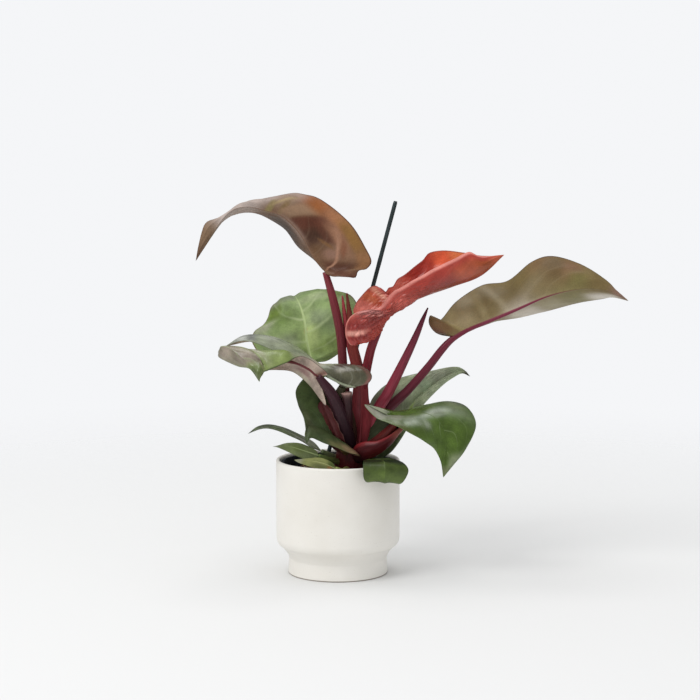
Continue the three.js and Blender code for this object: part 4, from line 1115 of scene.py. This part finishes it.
# Low middle leaf. A small juvenile blade just above the rim, mid green with a lighter centre and a
# grey withered tip.
LOW_MID = {
    "upper": -1, "camber": (1, 1), "slip": 1.1, "quilt": 0.15, "ripple": 0.2, "ripples": 3, "veins": 8,
    "sweep": 0.5, "rib_width": 1.1, "rib_depth": 0.6,
    "rib": [(-21, -34, 139), (-35, -36, 144), (-53, -40, 150), (-72, -44, 151)],
    "a": [(-24, -30, 144), (-39, -32, 152), (-55, -36, 154), (-65, -41, 152)],
    "b": [(-29, -38, 135), (-42, -40, 138), (-55, -44, 145), (-65, -46, 150)],
}
blade(
    "blade_low_mid", LOW_MID,
    leaf_skin("mid_green_juvenile", LOW_MID, "#8fa468", "#a3b37c", "#455c30", vein_share=0.25,
              roughness=0.32, coat=0.35),
    ("#758055", [(0.98, 0.0, 0.08, 2.0, "#9a9c94"), (0.5, 0.0, 0.15, 0.5, "#6c7846")]),
    right_rear_back,
    ("#7b8f5c", []),
    grid=SMALL_GRID,
)


# Low pale leaf. The smallest and oldest blade, yellowing, which rests over the front of the rim. It
# is darker green at its base, with a small brown mark there.
LOW_PALE = {
    "upper": -1, "camber": (1, 1), "slip": 1.1, "quilt": 0.1, "ripple": 0.2, "ripples": 2, "veins": 7,
    "sweep": 0.5, "rib_width": 1.0, "rib_depth": 0.5,
    "rib": [(-2, -44, 126), (-17, -48, 133), (-33, -49, 136), (-48, -49, 137)],
    "a": [(-6, -44, 133), (-20, -46, 139), (-35, -47, 138)],
    "b": [(-11, -50, 125), (-28, -52, 129), (-43, -51, 134)],
}
blade(
    "blade_low_pale", LOW_PALE,
    leaf_skin("yellowing_juvenile", LOW_PALE, "#b5b96a", "#c2c486", "#6a7038", vein_share=0.25,
              roughness=0.34, coat=0.3),
    ("#989c60", [
        (0.15, 0.0, 0.12, 2.0, "#5f6d38"), (0.4, 0.6, 0.2, 0.4, "#6c7046"),
        (0.9, 0.0, 0.1, 2.0, "#8c8c74"), (0.18, 0.4, 0.07, 0.3, "#a4764a"),
    ]),
    right_front_back,
    ("#949c5c", []),
    grid=SMALL_GRID,
)


# Rim leaf. A blade that leaves the crown low down and rolls forward over the front right of the
# rim, its end curled back under. Its outer face is deep green with a pale midrib, painted darker over
# the top of the roll as shade and lighter lower down its front as light.
RIM_CURL = {
    "upper": 1, "camber": (0, 0), "slip": 1, "quilt": 0.1, "ripple": 0.1, "ripples": 2, "veins": 8,
    "sweep": 0.2, "rib_width": 1.2, "rib_depth": 0.5,
    "rib": [(38, -20, 134), (44, -36, 135), (48, -54, 137), (51, -69, 138), (52, -77, 133),
            (52, -78, 122), (52, -72, 115), (52, -63, 119)],
    "a": [(33, -36, 135), (29, -60, 138), (28, -74, 138), (28, -81, 131), (29, -80, 121), (33, -73, 116),
          (41, -66, 117)],
    "b": [(56, -32, 136), (67, -46, 136), (74, -58, 134), (78, -64, 128), (75, -63, 119), (69, -60, 112),
          (60, -58, 114)],
}
blade(
    "blade_rim_curl", RIM_CURL,
    right_front_top,
    ("#4c5a34", []),
    leaf_skin("deep_green_rolled", RIM_CURL, "#5c6f40", "#627440", "#2c3a20", vein_share=0.15, fine=0.05,
              roughness=0.42, coat=0.12),
    # The dark band across the top of the roll is painted shade, and the lighter band lower on its front is
    # painted light.
    ("#455426", [
        (0.45, 0.0, 0.12, 3.0, "#232d18"), (0.62, 0.0, 0.05, 3.0, "#465428"),
        (0.76, 0.0, 0.07, 3.0, "#586a30"),
    ]),
    grid=(80, 61),
)


# Studio. A pale seamless floor that fades into the white background, soft light from the upper
# left and from above, and the camera at the height of the leaves.
FLOOR_RADIUS = 1.5
SKY_FILL = 0.68
SKY_SEEN_MORE = 0.3
SKY_MIRRORED_LESS = 0.5


def paper_floor():
    made, tree, shader = material("white_paper_floor", roughness=0.9, specular=0.2)
    shader.inputs["Base Color"].default_value = colour("#e6e6e5")
    place = node(tree, "ShaderNodeTexCoord").outputs["Object"]
    away = node(tree, "ShaderNodeVectorMath", {"operation": "LENGTH"}, Vector=place).outputs["Value"]
    share = math_node(tree, "DIVIDE", away, FLOOR_RADIUS)
    fade = ramp(tree, share, [(0.2, 1.0), (0.95, 0.0)])
    fade.node.color_ramp.interpolation = "EASE"
    tree.links.new(fade, shader.inputs["Alpha"])
    return made


bpy.ops.mesh.primitive_circle_add(vertices=128, radius=FLOOR_RADIUS, fill_type="NGON")
floor = bpy.context.object
floor.name = "paper_floor"
floor.data.materials.append(paper_floor())

studio = bpy.data.worlds.new("white_studio")
studio.use_nodes = True
sky = studio.node_tree
backdrop = sky.nodes["Background"]
backdrop.inputs["Color"].default_value = colour("#f7f8fa")
seen = node(sky, "ShaderNodeLightPath")
fill = math_node(sky, "MULTIPLY_ADD", seen.outputs["Is Camera Ray"], SKY_SEEN_MORE, SKY_FILL)
dimmed = math_node(sky, "MULTIPLY_ADD", seen.outputs["Is Glossy Ray"], -SKY_MIRRORED_LESS, fill)
sky.links.new(dimmed, backdrop.inputs["Strength"])
bpy.context.scene.world = studio


def soft_light(name, place, target, size, power):
    lamp = bpy.data.lights.new(name, "AREA")
    lamp.shape = "DISK"
    lamp.size = size
    lamp.energy = power
    made = bpy.data.objects.new(name, lamp)
    bpy.context.scene.collection.objects.link(made)
    made.location = place
    made.rotation_euler = (made.location - Vector(target)).to_track_quat("Z", "Y").to_euler()


soft_light("key_softbox", (-2.1, -2.2, 3.3), (0, 0, 0.2), 2.4, 80)
soft_light("top_softbox", (0.0, 0.4, 4.2), (0, 0, 0.2), 2.6, 50)

camera = bpy.data.objects.new("camera", bpy.data.cameras.new("camera"))
camera.location = (0.0137, -2.2, 0.506)
camera.rotation_euler = (math.radians(83.46), 0, 0)
camera.data.lens = 101.2
camera.data.sensor_width = 36
bpy.context.scene.collection.objects.link(camera)
bpy.context.scene.camera = camera
bpy.context.scene.view_settings.view_transform = "Standard"
